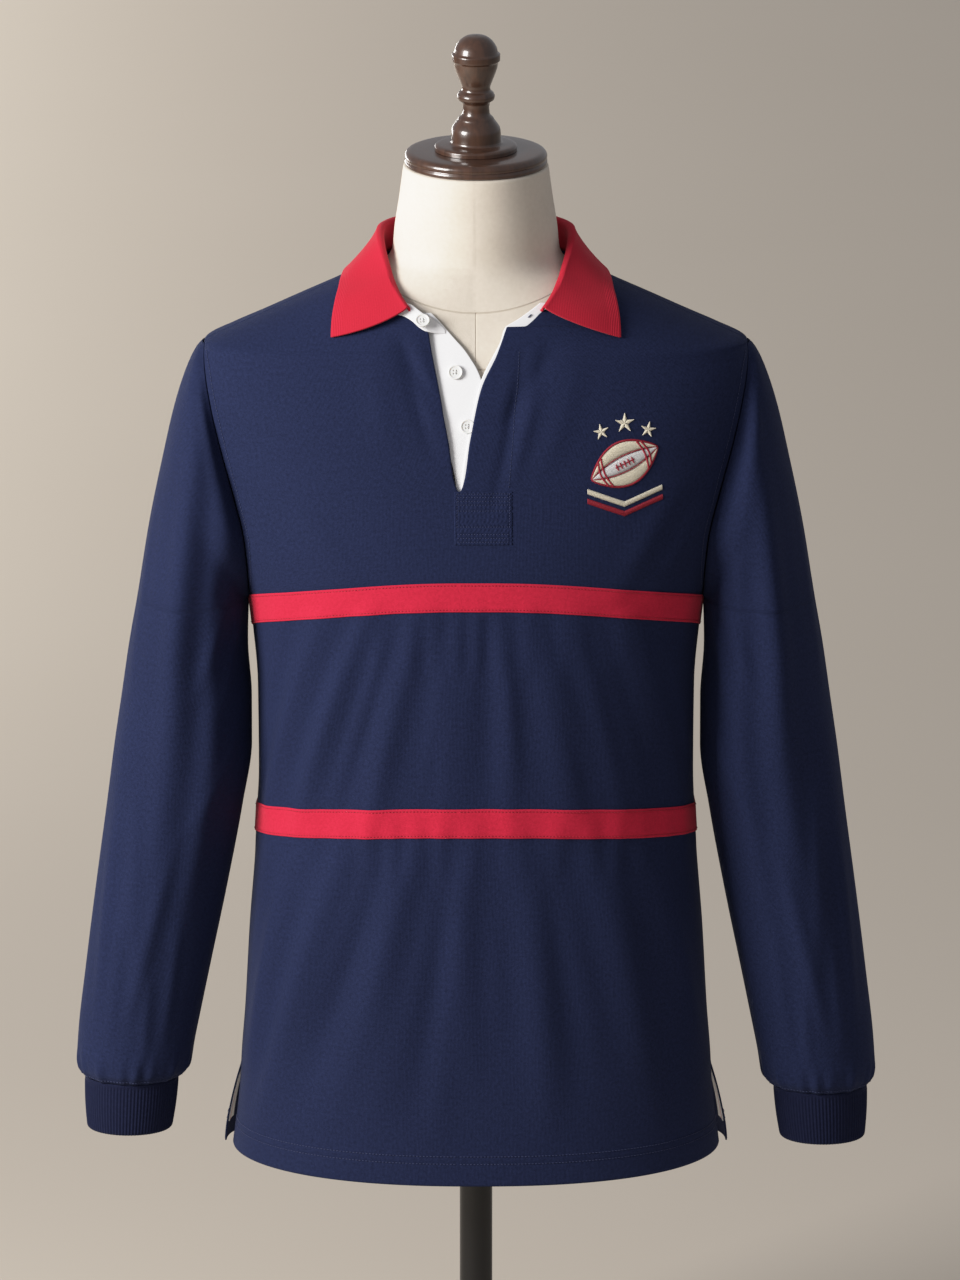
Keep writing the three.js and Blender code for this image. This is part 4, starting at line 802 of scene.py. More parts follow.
def cuff_grid(side, levels, columns):
    """Grid of a cuff: an ellipse that narrows to the foot, with one soft ridge and one groove for each rib."""
    angle = np.linspace(0, 2 * np.pi, columns)[None, :]
    high = CUFF_TOP - CUFF_FOOT
    down = ((CUFF_TOP - levels) / high)[:, None]
    top_outer, top_inner, top_depth, middle_y = SLEEVE[0, 1:]
    outer, inner = top_outer - 1.7 * down + SEAM + 0.15, top_inner + 6 * down + SEAM + 0.15
    depth = top_depth - 3.5 * down
    belly = 0.8 * np.sin(np.pi * down)
    rib = 0.34 * np.cos(RIBS * angle) * soft_step(down, 0.02, 0.12) * (1 - 0.4 * soft_step(down, 0.93, 1))
    rounded = -1.1 * np.clip(1 - (1 - down) * high / 1.8, 0, 1) ** 2 - 0.5 * np.clip(1 - down * high / 2.2, 0, 1) ** 2
    out = belly + rib + rounded
    x = (outer + inner) / 2 - ((outer - inner) / 2 + out) * np.cos(angle)
    z = levels[:, None] + 0 * angle - (SLEEVE_DROP if side > 0 else 0)
    grid = np.stack([x * side, middle_y - (depth + out) * np.sin(angle), z], axis=-1)
    return grid if side > 0 else grid[:, ::-1]


cuff_levels = np.array([
    322, 322.3, 322.9, 323.8, 325.5, 329, 333, 337, 341, 345,
    349, 353, 357, 360, 362.5, 364.5, 366, 367, 367.6, 368,
])
for name, side in (("left", 1), ("right", -1)):
    grid = cuff_grid(side, cuff_levels, RIBS * 6 + 1)
    made = shell(f"rib_cuff_{name}", [grid], join=0.00001, thick=RIB_KNIT - 0.3)
    fit(made, navy_rib, "navy_rib", f"cuff_{name}")

# Neck opening.
# Under the wearer's right edge lies a stand of white twill with the buttons. The wearer's left edge is faced with
# the same twill, which shows as a narrow white line and, by the collar, as its turned-back corner.
# How far the button stand lies below the front's skin, at its foot and at the neck.
STAND_DEPTH = (3.1, 5.0)
STAND_CLOTH = 1.7
FACING_CLOTH = 0.8
# Height and the x of each side edge.
BUTTON_STAND = np.array([
    (893, -17, 22), (904.5, -17, 21), (944, -26, 17), (975, -32, 11), (993, -36, 4.7), (1002, -38, 0.8),
    (1010, -40, -4.3), (1017, -41.5, -9.3), (1026, -43.5, -17.9), (1033, -46, -24.7), (1040, -50.5, -31.5),
    (1046, -53, -38),
])
FACING = np.array([
    (893, -12, 8), (904.5, -12, 9), (944, -6.8, 15), (985, 2, 24), (993, 4.6, 27), (1012, 14.5, 35),
    (1023, 20.6, 40), (1034, 24.4, 46), (1040, 34.5, 54), (1046, 44, 59), (1053, 54, 62),
])


def calm_skin(angle, z):
    """The shirt's skin without its fine creases, which the stiff stand doesn't follow."""
    radius = plain_radius(angle, z) + swelling(FOLDS, angle, z)
    return np.stack([radius * np.sin(angle), fair(DEPTH, 3, z) - radius * np.cos(angle), z + 0 * angle], axis=-1)


def on_calm(x, z, lift):
    """Point off the calm skin's front by its x and height."""
    x, z = np.broadcast_arrays(np.asarray(x, float), np.asarray(z, float))
    angle = angle_at_x(x, z)
    return calm_skin(angle, z) + facing_out(calm_skin, angle, z, 0.007, 0.5) * np.asarray(lift, float)[..., None]


def on_chest(x, z, lift):
    """Point off the shirt's front by its x and height."""
    x, z = np.broadcast_arrays(np.asarray(x, float), np.asarray(z, float))
    return on_body(angle_at_x(x, z), z, lift)


def twill(name, stripe=None):
    """White cotton twill: fine slanting ribs on the cloth's map, and a red woven stripe where one is asked for."""
    material, start = finish(name, Specular_IOR_Level=0.2)
    flat = start.node("ShaderNodeTexCoord", out=2)
    across, up = ways(flat, 0, 1)
    ribs = ((across + up * 0.8) * 8200).wave()
    fleck = noise(flat, 500.0)
    colour = blended(fleck * 0.6 + ribs * 0.15, (0.80, 0.805, 0.83, 1), (0.94, 0.94, 0.955, 1))
    if stripe:
        low, high = stripe
        mask = across.within(high - 0.0003, high + 0.0003) * (1 - across.within(low - 0.0003, low + 0.0003))
        colour = blended(mask * 0.75, colour, (0.52, 0.03, 0.06, 1))
    feed(material, relief=ribs * 0.6 + fleck * 0.8, depth=0.00012, Base_Color=colour, Roughness=fleck * 0.1 + 0.78)
    return material


def strip_grid(table, skin, columns, lift):
    """Grid between the two side edges of a table, on a skin, with both edges rounded off."""
    z = np.linspace(table[0, 0], table[-1, 0], 90)[:, None]
    share = np.concatenate([[0, 0.01, 0.03], np.linspace(0.06, 0.94, columns), [0.97, 0.99, 1]])[None, :]
    left, right = fair(table, 1, z), fair(table, 2, z)
    x = left + (right - left) * share
    from_edge = np.minimum(share, 1 - share) * (right - left)
    return skin(x, z, lift - 0.3 * np.clip(1 - from_edge / 0.8, 0, 1) ** 2)


def stand_lift(z):
    """The stand's depth below the skin goes from the one at its foot to the one at the neck by a soft step."""
    at_foot, at_neck = STAND_DEPTH
    return -at_foot - (at_neck - at_foot) * soft_step(z, 895, 1000)


white_twill = twill("white_twill")
stand_grid = strip_grid(BUTTON_STAND, lambda x, z, lift: on_calm(x, z, lift + stand_lift(z)), 30, 0)
stand = shell("twill_button_stand", [stand_grid], thick=STAND_CLOTH)
fit(stand, white_twill, "white_twill", "button_stand")
round(grid_area([stand_grid]), 4)
facing_grid = strip_grid(FACING, on_chest, 22, -CLOTH - 2 * SEAM)
facing = shell("twill_facing", [facing_grid], thick=FACING_CLOTH)
fit(facing, white_twill, "white_twill", "placket_facing")
round(grid_area([facing_grid]), 4)

# The end of the white neck band lies open over the wearer's right edge, below the collar's front end.
# X, lower and upper height, and how far it lies off the skin.
BAND_END = np.array([
    (-66, 1043, 1053, 0.7), (-60, 1041.5, 1052.5, 1.2), (-54, 1038.5, 1051, 1.3), (-47, 1033, 1046.5, 1.1),
    (-42, 1030.6, 1043.5, 0.4), (-36, 1029.8, 1040.5, -1.8), (-30, 1029.6, 1036.6, -3.6),
    (-25.4, 1029.8, 1032.6, -4.3),
])
across_x = np.concatenate([[-66, -65.6], np.linspace(-65, -26.6, 44), [-26, -25.6, -25.4]])[None, :]
up_share = np.concatenate([[0, 0.03, 0.08], np.linspace(0.15, 0.85, 14), [0.92, 0.97, 1]])[:, None]
end_low, end_high, end_lift = (fair(BAND_END, k, across_x) for k in (1, 2, 3))
from_rim = np.minimum(np.minimum(up_share, 1 - up_share) * (end_high - end_low), across_x[:, -1:] - across_x)
end_z = end_low + (end_high - end_low) * up_share
band_end_grid = on_calm(across_x, end_z, end_lift - 0.4 * np.clip(1 - from_rim / 0.9, 0, 1) ** 2)
band_end = shell("twill_band_end", [band_end_grid], thick=FACING_CLOTH)
fit(band_end, white_twill, "white_twill")
round(grid_area([band_end_grid]), 5)

# Buttons.
# Four-hole buttons of off-white cast plastic with a raised rim, sewn to the stand and to the end of the neck band
# with white thread that crosses from hole to hole.
BUTTON_RADIUS = 6.2
BUTTON_THICKNESS = 2.4
# How far each hole lies from the button's middle lines.
HOLE = 1.25
# X, height and how far each button lies off the skin.
BUTTONS = [(-17.3, 999, SEAM + stand_lift(999)), (-7, 955, SEAM + stand_lift(955)), (-44.5, 1038, 2.6)]
cast_plastic, start = finish("cast_button", Coat_Weight=0.35, Coat_Roughness=0.2, Subsurface_Weight=0.05)
pearl = mottled(start, 220)
feed(
    cast_plastic,
    relief=pearl,
    depth=0.00002,
    Base_Color=blended(pearl, (0.74, 0.73, 0.71, 1), (0.86, 0.855, 0.84, 1)),
    Roughness=pearl * 0.1 + 0.3,
)


def button_grid(columns=72):
    """Grid of a button: rings from the middle of its face over the rim and back under. Each hole is a steep bell."""
    face = np.concatenate([np.linspace(0, 3.4, 22), [3.8, 4.2, 4.5, 4.8, 5.1, 5.5, 5.9, 6.1, BUTTON_RADIUS]])
    turn = np.linspace(0, 2 * np.pi, columns + 1)[:-1][None, :]
    radius = face[:, None] + 0 * turn
    sunk = np.array([0.75, 0.7, 0.25, 0, 0.08, 0.35, 0.7])
    height = np.interp(face, [0, 4.2, 4.8, 5.5, 5.9, 6.1, BUTTON_RADIUS], BUTTON_THICKNESS - sunk)
    x, y = radius * np.sin(turn), radius * np.cos(turn)
    z = height[:, None] + 0 * turn
    for side_x in (-HOLE, HOLE):
        for side_y in (-HOLE, HOLE):
            z = z - 1.3 * np.exp(-((((x - side_x) ** 2 + (y - side_y) ** 2) / 0.42) ** 2))
    top = np.stack([x, y, z], axis=-1)
    under = np.array([(BUTTON_RADIUS, 0.7), (5.9, 0.2), (5.4, 0), (3, 0), (0, 0)])
    bottom = np.stack([under[:, :1] * np.sin(turn), under[:, :1] * np.cos(turn), under[:, 1:] + 0 * turn], axis=-1)
    return np.concatenate([top, bottom])


def seated(grid, place, normal):
    """Sets a grid on a place: its own height along the normal, its own x level and its own y up the cloth."""
    level = np.cross((0, 0, 1), normal)
    level /= np.linalg.norm(level)
    return place + grid[..., :1] * level + grid[..., 1:2] * np.cross(normal, level) + grid[..., 2:] * normal


def tubes(lines, normals, radius, sides=5, taper=(0.45, 1, 1, 0.45)):
    """Grids of many threads at once: a ring about each point of each line, turned by the line's own direction."""
    along = np.gradient(lines, axis=1)
    along /= np.linalg.norm(along, axis=-1, keepdims=True)
    level = np.cross(along, normals)
    level /= np.linalg.norm(level, axis=-1, keepdims=True)
    up = np.cross(level, along)
    turn = np.arange(sides) * 2 * np.pi / sides
    size = np.interp(np.linspace(0, 1, lines.shape[1]), np.linspace(0, 1, len(taper)), taper) * radius
    ring = level[:, :, None] * np.cos(turn)[:, None] + up[:, :, None] * np.sin(turn)[:, None]
    return lines[:, :, None] + ring * size[None, :, None, None]


def thread_piece(name, grids, material, slot):
    """One mesh of many threads. Every thread is a closed tube: quads along it and one face at each end."""
    points, faces, count = [], [], 0
    for grid in grids:
        threads, stations, sides = grid.shape[:3]
        base = (count + np.arange(threads) * stations * sides)[:, None, None]
        i, j = np.meshgrid(np.arange(stations - 1) * sides, np.arange(sides), indexing="ij")
        following = (j + 1) % sides
        quads = np.stack([i + j, i + following, i + sides + following, i + sides + j], -1).reshape(1, -1, 4)
        faces += (base + quads).reshape(-1, 4).tolist()
        end = np.arange(sides)[None, :]
        faces += (base[:, 0] + end[:, ::-1]).tolist() + (base[:, 0] + (stations - 1) * sides + end).tolist()
        points.append(grid.reshape(-1, 3))
        count += threads * stations * sides
    mesh = bpy.data.meshes.new(name)
    mesh.from_pydata(np.concatenate(points) * 0.001, [], faces)
    mesh.polygons.foreach_set("use_smooth", np.ones(len(mesh.polygons), bool))
    made = bpy.data.objects.new(name, mesh)
    bpy.context.collection.objects.link(made)
    fit(made, material, slot)


def spun(name, dark, light, **uniform):
    """Spun thread: its dye and gloss change a little from strand to strand."""
    material, start = finish(name, **uniform)
    strand = mottled(start, 1400, detail=2.0)
    colour = blended(strand, dark, light)
    feed(material, relief=strand, depth=0.00003, Base_Color=colour, Roughness=strand * 0.15 + 0.5)
    return material


white_thread = spun("white_thread", (0.70, 0.70, 0.71, 1), (0.88, 0.88, 0.88, 1))
navy_thread = spun("navy_thread", (0.013, 0.018, 0.052, 1), (0.040, 0.053, 0.145, 1))
# The red thread is painted darker than the band's red: painted shade, so that the sunk stitches show as dark dots.
red_thread_painted_shade = spun("red_thread_painted_shade", (0.25, 0.007, 0.02, 1), (0.44, 0.018, 0.045, 1))
for k, (x, z, off) in enumerate(BUTTONS):
    place, normal = on_calm(x, z, off), on_calm(x, z, 1) - on_calm(x, z, 0)
    on_stand = k < 2
    if not on_stand:
        tipped = normal + (0.12, 0, 0.42)
        normal = tipped / np.linalg.norm(tipped)
    disc = shell(f"sewn_button_{k + 1}", [seated(button_grid(), place, normal)[::-1]], wrap=True, sharp=50)
    fit(disc, cast_plastic, "button", *([f"button_{k + 1}"] if on_stand else []))
    step = np.linspace(0, 1, 9)
    ends = HOLE * np.array([((-1, -1), (1, 1)), ((-1, 1), (1, -1))])
    lines = np.concatenate([ends + (shift, -shift * 0.5) for shift in (-0.28, 0, 0.28)])
    flat = lines[:, :1] + (lines[:, 1:] - lines[:, :1]) * step[None, :, None]
    height = BUTTON_THICKNESS - 1.35 + 1.0 * np.sin(np.pi * step) ** 0.35
    crossing = np.concatenate([flat, 0 * flat[..., :1] + height[None, :, None]], axis=-1)
    lines = seated(crossing, place, normal)
    thread_piece(f"button_thread_{k + 1}", [tubes(lines, 0 * lines + normal, 0.2)], white_thread, "white_twill")

# Collar.
# A flat-knit red collar: its stand is sewn to the neckline, it rolls over and its leaves fall open to both sides.
# The knit's welts run along the outer edge.
RIB_COLLAR = 1.8
ROLL_RADIUS = 4
COLLAR_MIDDLE = 9
# From the front end (0) to the middle of the back (1): roll angle, radius and height, edge angle and radius, and
# how far the edge lies off the body.
COLLAR = np.array([
    (0, 36, 93, 1051, 58.5, 143, 3.4), (0.08, 42, 90.5, 1058, 62, 137.5, 3), (0.2, 54, 84, 1070.5, 68, 128, 3),
    (0.32, 67, 79.5, 1084, 75, 120, 3), (0.45, 84, 77.5, 1098, 87, 114, 3), (0.58, 104, 77, 1103.5, 104, 111, 4),
    (0.78, 142, 74, 1104, 142, 98, 8), (1, 180, 72, 1104, 180, 88, 11),
])


def height_under(angle, radius):
    """Height of the body's plain skin under a point of the plan, found by halving the span 40 times."""
    low, high = np.full(np.shape(angle), UNDERARM + 100.0), np.full(np.shape(angle), 1094.0)
    for _ in range(40):
        middle = (low + high) / 2
        wide = plain_radius(angle, middle) > radius
        low, high = np.where(wide, middle, low), np.where(wide, high, middle)
    return (low + high) / 2


def height_clear(angle, radius, clear):
    """Height at which a point of the plan is clear of the skin, measured at right angles to its slope."""
    under = height_under(angle, radius)
    return under + clear * np.hypot(1, height_under(angle, radius - 1) - under)


def collar_skin(along, across):
    """Point of the collar: up the stand (0 to 1), round the roll (1 to 2) and down the leaf to its edge (2 to 3).
    Where the leaf would come too low, a rounded maximum holds it clear of the shoulders."""
    along, across = np.broadcast_arrays(along, across)
    side = np.where(along < 0, -1, 1)
    place = 1 - np.abs(along)
    roll_angle, edge_angle = np.radians(fair(COLLAR, 1, place)), np.radians(fair(COLLAR, 4, place))
    roll_radius, edge_radius = fair(COLLAR, 2, place), fair(COLLAR, 5, place)
    neck_z = fair(NECKLINE, 1, np.degrees(roll_angle))
    middle_r, middle_z = roll_radius + ROLL_RADIUS, fair(COLLAR, 3, place) - ROLL_RADIUS
    edge_z = height_clear(edge_angle, edge_radius, fair(COLLAR, 6, place))
    turn_end = np.arctan2(edge_radius - middle_r, middle_z - edge_z)
    up = np.clip(across, 0, 1)
    base = plain_radius(roll_angle, neck_z) - 1.2
    stand_r = base + (roll_radius - base) * np.sin(up * np.pi / 2)
    stand_z = neck_z + 2 + (middle_z - neck_z - 2) * up
    turn = np.pi + (turn_end - np.pi) * np.clip(across - 1, 0, 1)
    down = np.clip(across - 2, 0, 1)
    leaf_angle = roll_angle + (edge_angle - roll_angle) * down
    start_r, start_z = middle_r + ROLL_RADIUS * np.cos(turn_end), middle_z + ROLL_RADIUS * np.sin(turn_end)
    leaf_r = start_r + (edge_radius - start_r) * down**1.08
    leaf_z = start_z + (edge_z - start_z) * down**0.85
    short = height_clear(leaf_angle, leaf_r, RIB_COLLAR + 0.9) - leaf_z
    leaf_z = leaf_z + (short + np.sqrt(short**2 + 2.2)) / 2
    leaf_z = leaf_z + 0.9 * np.sin(np.pi * down) * np.sin(along * 21 + 0.6)
    radius = np.where(across <= 1, stand_r, np.where(across <= 2, middle_r + ROLL_RADIUS * np.cos(turn), leaf_r))
    z = np.where(across <= 1, stand_z, np.where(across <= 2, middle_z + ROLL_RADIUS * np.sin(turn), leaf_z))
    angle = np.where(across <= 2, roll_angle, leaf_angle)
    return np.stack([side * radius * np.sin(angle), COLLAR_MIDDLE - radius * np.cos(angle), z], axis=-1)


collar_along = np.concatenate([[-1, -0.997, -0.992], np.linspace(-0.985, 0.985, 190), [0.992, 0.997, 1]])[None, :]
collar_across = np.concatenate([
    np.linspace(0, 1, 14)[:-1], np.linspace(1, 2, 10)[:-1], np.linspace(2, 2.96, 56), [2.972, 2.984, 2.993, 3.0],
])[:, None]
collar_grid = collar_skin(collar_along, collar_across)
collar_map = lengths(collar_grid)
walked = np.linalg.norm(np.diff(collar_grid, axis=0, append=collar_grid[-1:]), axis=2)
collar_map[..., 1] = walked[::-1].cumsum(axis=0)[::-1] * 0.001
to_edge = collar_map[..., 1:2] * 1000
normal = np.cross(np.gradient(collar_grid, axis=1), np.gradient(collar_grid, axis=0))
normal /= np.linalg.norm(normal, axis=-1, keepdims=True)
collar_grid = collar_grid - normal * 0.5 * np.clip(1 - to_edge / 1.4, 0, 1) ** 2

red_rib, start = finish("red_flat_knit", **RED_SHEEN)
flat = start.node("ShaderNodeTexCoord", out=2)
along_way, edge_way = ways(flat, 0, 1)
welts = (edge_way * (2 * np.pi / 0.0016)).wave()
by_edge = edge_way.within(0.0085, 0.0115)
fine = (along_way * (2 * np.pi / 0.0011)).wave()
fleck = noise(flat, 700.0)
cloud = noise(flat, 16.0, 2.0)
shade = fleck * 0.5 + cloud * 0.3 + welts * by_edge * 0.22 + fine * 0.05
feed(
    red_rib,
    relief=welts * (by_edge * 0.8 + 0.25) + fine * 0.25 + fleck * 0.5,
    depth=0.00022,
    Base_Color=blended(shade, (0.35, 0.007, 0.02, 1), (0.65, 0.020, 0.052, 1)),
    Roughness=fleck * 0.1 + 0.76,
)
collar = shell("flat_knit_collar", [collar_grid], maps=[collar_map], thick=RIB_COLLAR)
fit(collar, red_rib, "red_rib", "collar")
round(grid_area([collar_grid]), 4)

# Vent tapes.
# White twill tape with a narrow red woven stripe covers the raw edge inside the back's side of each vent, from the
# vent's top down to the turned hem.
TAPE = 0.8
tape_shares = np.linspace(0.003, 0.064, 18)
tape_rows_z = np.array([322, 322.4, 323.2, 324.6, 326.5, 329, *np.linspace(333, 373.5, 16)])
taped = twill("vent_tape_twill", stripe=(0.0105, 0.0145))
for name, side in (("left", 1), ("right", -1)):
    rows = lower_rows(tape_rows_z, True)
    grid = half_panel(rows, side, True, tape_shares, lambda z, s: -CLOTH - SEAM + 0 * z)
    flat = lengths(grid)
    if side > 0:
        flat[..., 0] = flat[:, -1:, 0] - flat[..., 0]
    tape = shell(f"twill_vent_tape_{name}", [grid], maps=[flat], thick=TAPE)
    fit(tape, taped, "white_twill", f"vent_tape_{name}")

# Stitching.
# Lockstitch in matching thread: two rows at the hem, one along both edges of each band, one round each armhole on
# the body's side, one over each cuff, one down the placket and the rows of the box that holds the opening's foot.


def stitched(way, facing, pitch=2.9, length=2.15, radius=0.27, lift=0.1):
    """Stitches along a way of many points: they are set a pitch apart, and both ends of each dip into the cloth."""
    walked = np.concatenate([[0], np.cumsum(np.linalg.norm(np.diff(way, axis=0), axis=1))])
    centres = np.arange(pitch / 2, walked[-1] - pitch / 2, pitch)
    at = centres[:, None] + np.array([-0.5, -0.3, 0.3, 0.5]) * length
    line = np.stack([np.interp(at, walked, way[:, k]) for k in range(3)], axis=-1)
    out = np.stack([np.interp(at, walked, facing[:, k]) for k in range(3)], axis=-1)
    out /= np.linalg.norm(out, axis=-1, keepdims=True)
    rise = np.array([-0.35, 1, 1, -0.35])[None, :, None] * radius + lift
    return tubes(line + out * rise, out, radius, sides=5, taper=(0.5, 1, 1, 0.5))


def level_stitches(side_z, back, proud):
    """Stitches along a level line of a panel, from side seam to side seam."""
    shares = np.linspace(0.004, 1, 260)
    rows = lower_rows(np.array([side_z], float), back)
    roll = ends_lift(0.9, 3.2, False)
    made = []
    for side in (-1, 1):
        at = lambda up: half_panel(rows, side, back, shares, lambda z, s: roll(z, s) + proud + up)[0]
        made.append(stitched(at(0), at(1) - at(0)))
    return made


hem_threads, band_threads = [], []
for back in (False, True):
    for up in HEM_ROWS:
        hem_threads += level_stitches(HEM_SIDE + up, back, 0.15)
    for foot in BANDS.values():
        for up in BAND_ROWS:
            band_threads += level_stitches(foot + up, back, SEAM + BAND_CLOTH - 0.2)
thread_piece("hem_stitches", hem_threads, navy_thread, "navy_jersey")
thread_piece("band_stitches", band_threads, red_thread_painted_shade, "red_band")


def chest_stitches(x, z, proud=0.0, **sizes):
    """Stitches on the front along points given by x and height."""
    x, z = np.asarray(x, float), np.asarray(z, float)
    walked = np.concatenate([[0], np.cumsum(np.hypot(np.diff(x), np.diff(z)))])
    fine = np.linspace(0, walked[-1], 120)
    x, z = np.interp(fine, walked, x), np.interp(fine, walked, z)
    return stitched(on_chest(x, z, proud), on_chest(x, z, 1) - on_chest(x, z, 0), **sizes)


# Sides, foot and top of the sewn box, its rows of stitches across and down, and what is turned in at its sides.
BOX_LEFT, BOX_RIGHT, BOX_FOOT, BOX_TOP = -16.5, 29, 857, 901.5
BOX_ROWS = [899.5, 896.6, 893.6, 890.4, 885.5, 872.2, 866, 862.8, 859.6]
BOX_SIDES = (BOX_LEFT + 0.8, BOX_RIGHT - 0.8)
BOX_TURNED = 1.6


def box_lift(x, z):
    """The box stands 0.75 mm proud with its rim rolled in, each row of stitches pulls a groove, and the cloth
    between the rows puckers in small waves."""
    x, z = np.broadcast_arrays(x, z)
    from_rim = np.minimum(x - BOX_LEFT + BOX_TURNED, BOX_RIGHT + BOX_TURNED - x)
    from_rim = np.minimum(from_rim, np.minimum(z - BOX_FOOT, BOX_TOP - z))
    pulled = sum(np.exp(-(((z - row) / 0.75) ** 2)) for row in BOX_ROWS)
    pulled = pulled + sum(np.exp(-(((x - edge) / 0.7) ** 2)) for edge in BOX_SIDES)
    wave = 0.2 * np.sin(1.75 * x + 1.1 * np.sin(0.9 * z)) * np.sin(0.8 * z + 0.5)
    return 0.75 - 0.5 * np.clip(1 - from_rim / 1.2, 0, 1) ** 2 - 0.45 * np.clip(pulled, 0, 1) + wave


box_x = np.linspace(BOX_LEFT - BOX_TURNED, BOX_RIGHT + BOX_TURNED, 70)[None, :]
box_z = np.linspace(BOX_FOOT, BOX_TOP, 84)[:, None]
box_grid = on_chest(box_x, box_z, box_lift(box_x, box_z))
box = shell("jersey_placket_box", [box_grid], thick=0.25)
fit(box, navy_jersey, "navy_jersey")
navy_threads = []
box_lines = [(BOX_SIDES, (z, z)) for z in BOX_ROWS] + [((x, x), (BOX_TOP - 1, 870)) for x in BOX_SIDES]
for ends_x, ends_z in box_lines:
    navy_threads.append(chest_stitches(ends_x, ends_z, proud=0.36, pitch=2.3, length=1.7, radius=0.24))
navy_threads.append(chest_stitches([27.5, 31.2, 35.2, 36.4], [904, 945, 984, 1016], radius=0.2))
# The buttonhole in the facing's turned-back corner, worked in navy.
hole = ([43.9, 46.6], [1041.8, 1044])
hole_out = on_chest(*hole, 1) - on_chest(*hole, 0)
navy_threads.append(
    stitched(on_chest(*hole, 0.1 - CLOTH - 2 * SEAM), hole_out, pitch=1.6, length=3.2, radius=0.5)
)
for back in (False, True):
    number = np.linspace(0.35, 4.9, 200)
    for side in (-1, 1):
        side_z, start_angle, end_z, end_angle = upper_rows(number, back, side)
        inward = 7.0 / plain_radius(np.pi - start_angle if back else start_angle, side_z)
        own = (start_angle - inward) * side
        angle = np.pi - own if back else own
        navy_threads.append(stitched(on_body(angle, side_z), body_normal(angle, side_z)))
for side in (-1, 1):
    low, high = sleeve_grid(side, np.array([371.2, 372.2, 373.2]), np.linspace(0, 1, 300))[[0, 2]]
    out = np.cross(np.gradient(low, axis=0), high - low)
    out /= np.linalg.norm(out, axis=-1, keepdims=True)
    navy_threads.append(stitched(low, out))
thread_piece("navy_stitches", navy_threads, navy_thread, "navy_jersey")

# Badge.
# A satin-stitched badge on the wearer's left chest, in cream, white and red thread: a tilted oval ball with its
# seams, end stripes and lacing, an arc of three stars above it and two chevrons below it.
BADGE_X, BADGE_Z = 124.5, 920.5
SATIN_PITCH = 0.43
# Half length and half width of the ball, how high it lies, and at what share of its half width its seams run.
BALL_LONG, BALL_WIDE, BALL_UP = 30, 18.5, 1.5
BALL_TILT = np.radians(24)
BALL_SEAM = 0.36
STAR_ARC = 33.5
CHEVRON_WIDE, CHEVRON_DROP, CHEVRON_HIGH = 31, 12, 4.6


def satin(first, last, lift, bulge=0.4, stations=6, radius=0.26):
    """Satin threads from edge to edge of a shape on the badge, side by side. Each rises between its ends by a root
    of a sine, so that the shape is padded."""
    steps = np.linspace(0, 1, stations)
    flat = first[:, None] + (last - first)[:, None] * steps[None, :, None]
    x, z = BADGE_X + flat[..., 0], BADGE_Z + flat[..., 1]
    padded = lift + bulge * np.sin(np.pi * steps) ** 0.5 + 0 * x
    return tubes(on_chest(x, z, padded), on_chest(x, z, padded + 1) - on_chest(x, z, padded), radius, sides=4)


def satin_line(way, width, lift, pitch=SATIN_PITCH, **padding):
    """Satin threads across a line of points, each at right angles to it."""
    walked = np.concatenate([[0], np.cumsum(np.hypot(*np.diff(way, axis=0).T))])
    at = np.arange(pitch / 2, walked[-1], pitch)
    middle = np.stack([np.interp(at, walked, way[:, k]) for k in (0, 1)], axis=-1)
    ahead = np.stack([np.interp(at, walked, np.gradient(way[:, k], walked)) for k in (0, 1)], axis=-1)
    aside = np.stack([-ahead[:, 1], ahead[:, 0]], axis=-1) / np.linalg.norm(ahead, axis=-1, keepdims=True)
    return satin(middle - aside * width / 2, middle + aside * width / 2, lift, stations=4, **padding)


def on_ball(along, across):
    """Point of the ball by its long and short way, turned by its tilt."""
    along, across = np.broadcast_arrays(along, across)
    cos, sin = np.cos(BALL_TILT), np.sin(BALL_TILT)
    return np.stack([along * cos - across * sin, along * sin + across * cos + BALL_UP], axis=-1)


def ball_edge(along, share):
    """Short way on the ball at a long way, as a share of its pointed-oval outline: a cosine to the power 0.8."""
    return BALL_WIDE * share * np.cos(np.clip(along / BALL_LONG, -1, 1) * np.pi / 2) ** 0.8


cream_thread = spun("cream_thread", (0.70, 0.64, 0.50, 1), (0.93, 0.88, 0.75, 1))
cream_work, white_work, red_work = [], [], []
along = np.arange(-BALL_LONG + 0.8, BALL_LONG - 0.8, SATIN_PITCH)
fields = [(-1, -BALL_SEAM, cream_work), (-BALL_SEAM, BALL_SEAM, white_work), (BALL_SEAM, 1, cream_work)]
for low, high, work in fields:
    under, over = (on_ball(along, ball_edge(along, share)) for share in (low, high))
    work.append(satin(under, over, 0.15, bulge=0.55))
fine = np.linspace(-BALL_LONG, BALL_LONG, 160)
for share in (-BALL_SEAM, BALL_SEAM):
    red_work.append(satin_line(on_ball(fine, ball_edge(fine, share)), 1.0, 0.4, radius=0.2))
for share in (-1, 1):
    red_work.append(satin_line(on_ball(fine, ball_edge(fine, share)), 2.0, 0.25))
fine = np.linspace(-0.96, 0.96, 60)
for at in (-19.5, -16, 16, 19.5):
    bowed = at + np.sign(at) * 2.4 * (1 - fine**2)
    red_work.append(satin_line(on_ball(bowed, ball_edge(bowed, fine)), 1.7, 0.75))
red_work.append(satin_line(on_ball(np.linspace(-8.5, 8.5, 30), 0), 1.1, 0.85))
for at in np.linspace(-7, 7, 5):
    red_work.append(satin_line(on_ball(at, np.linspace(-2.9, 2.9, 12)), 1.2, 1.05))
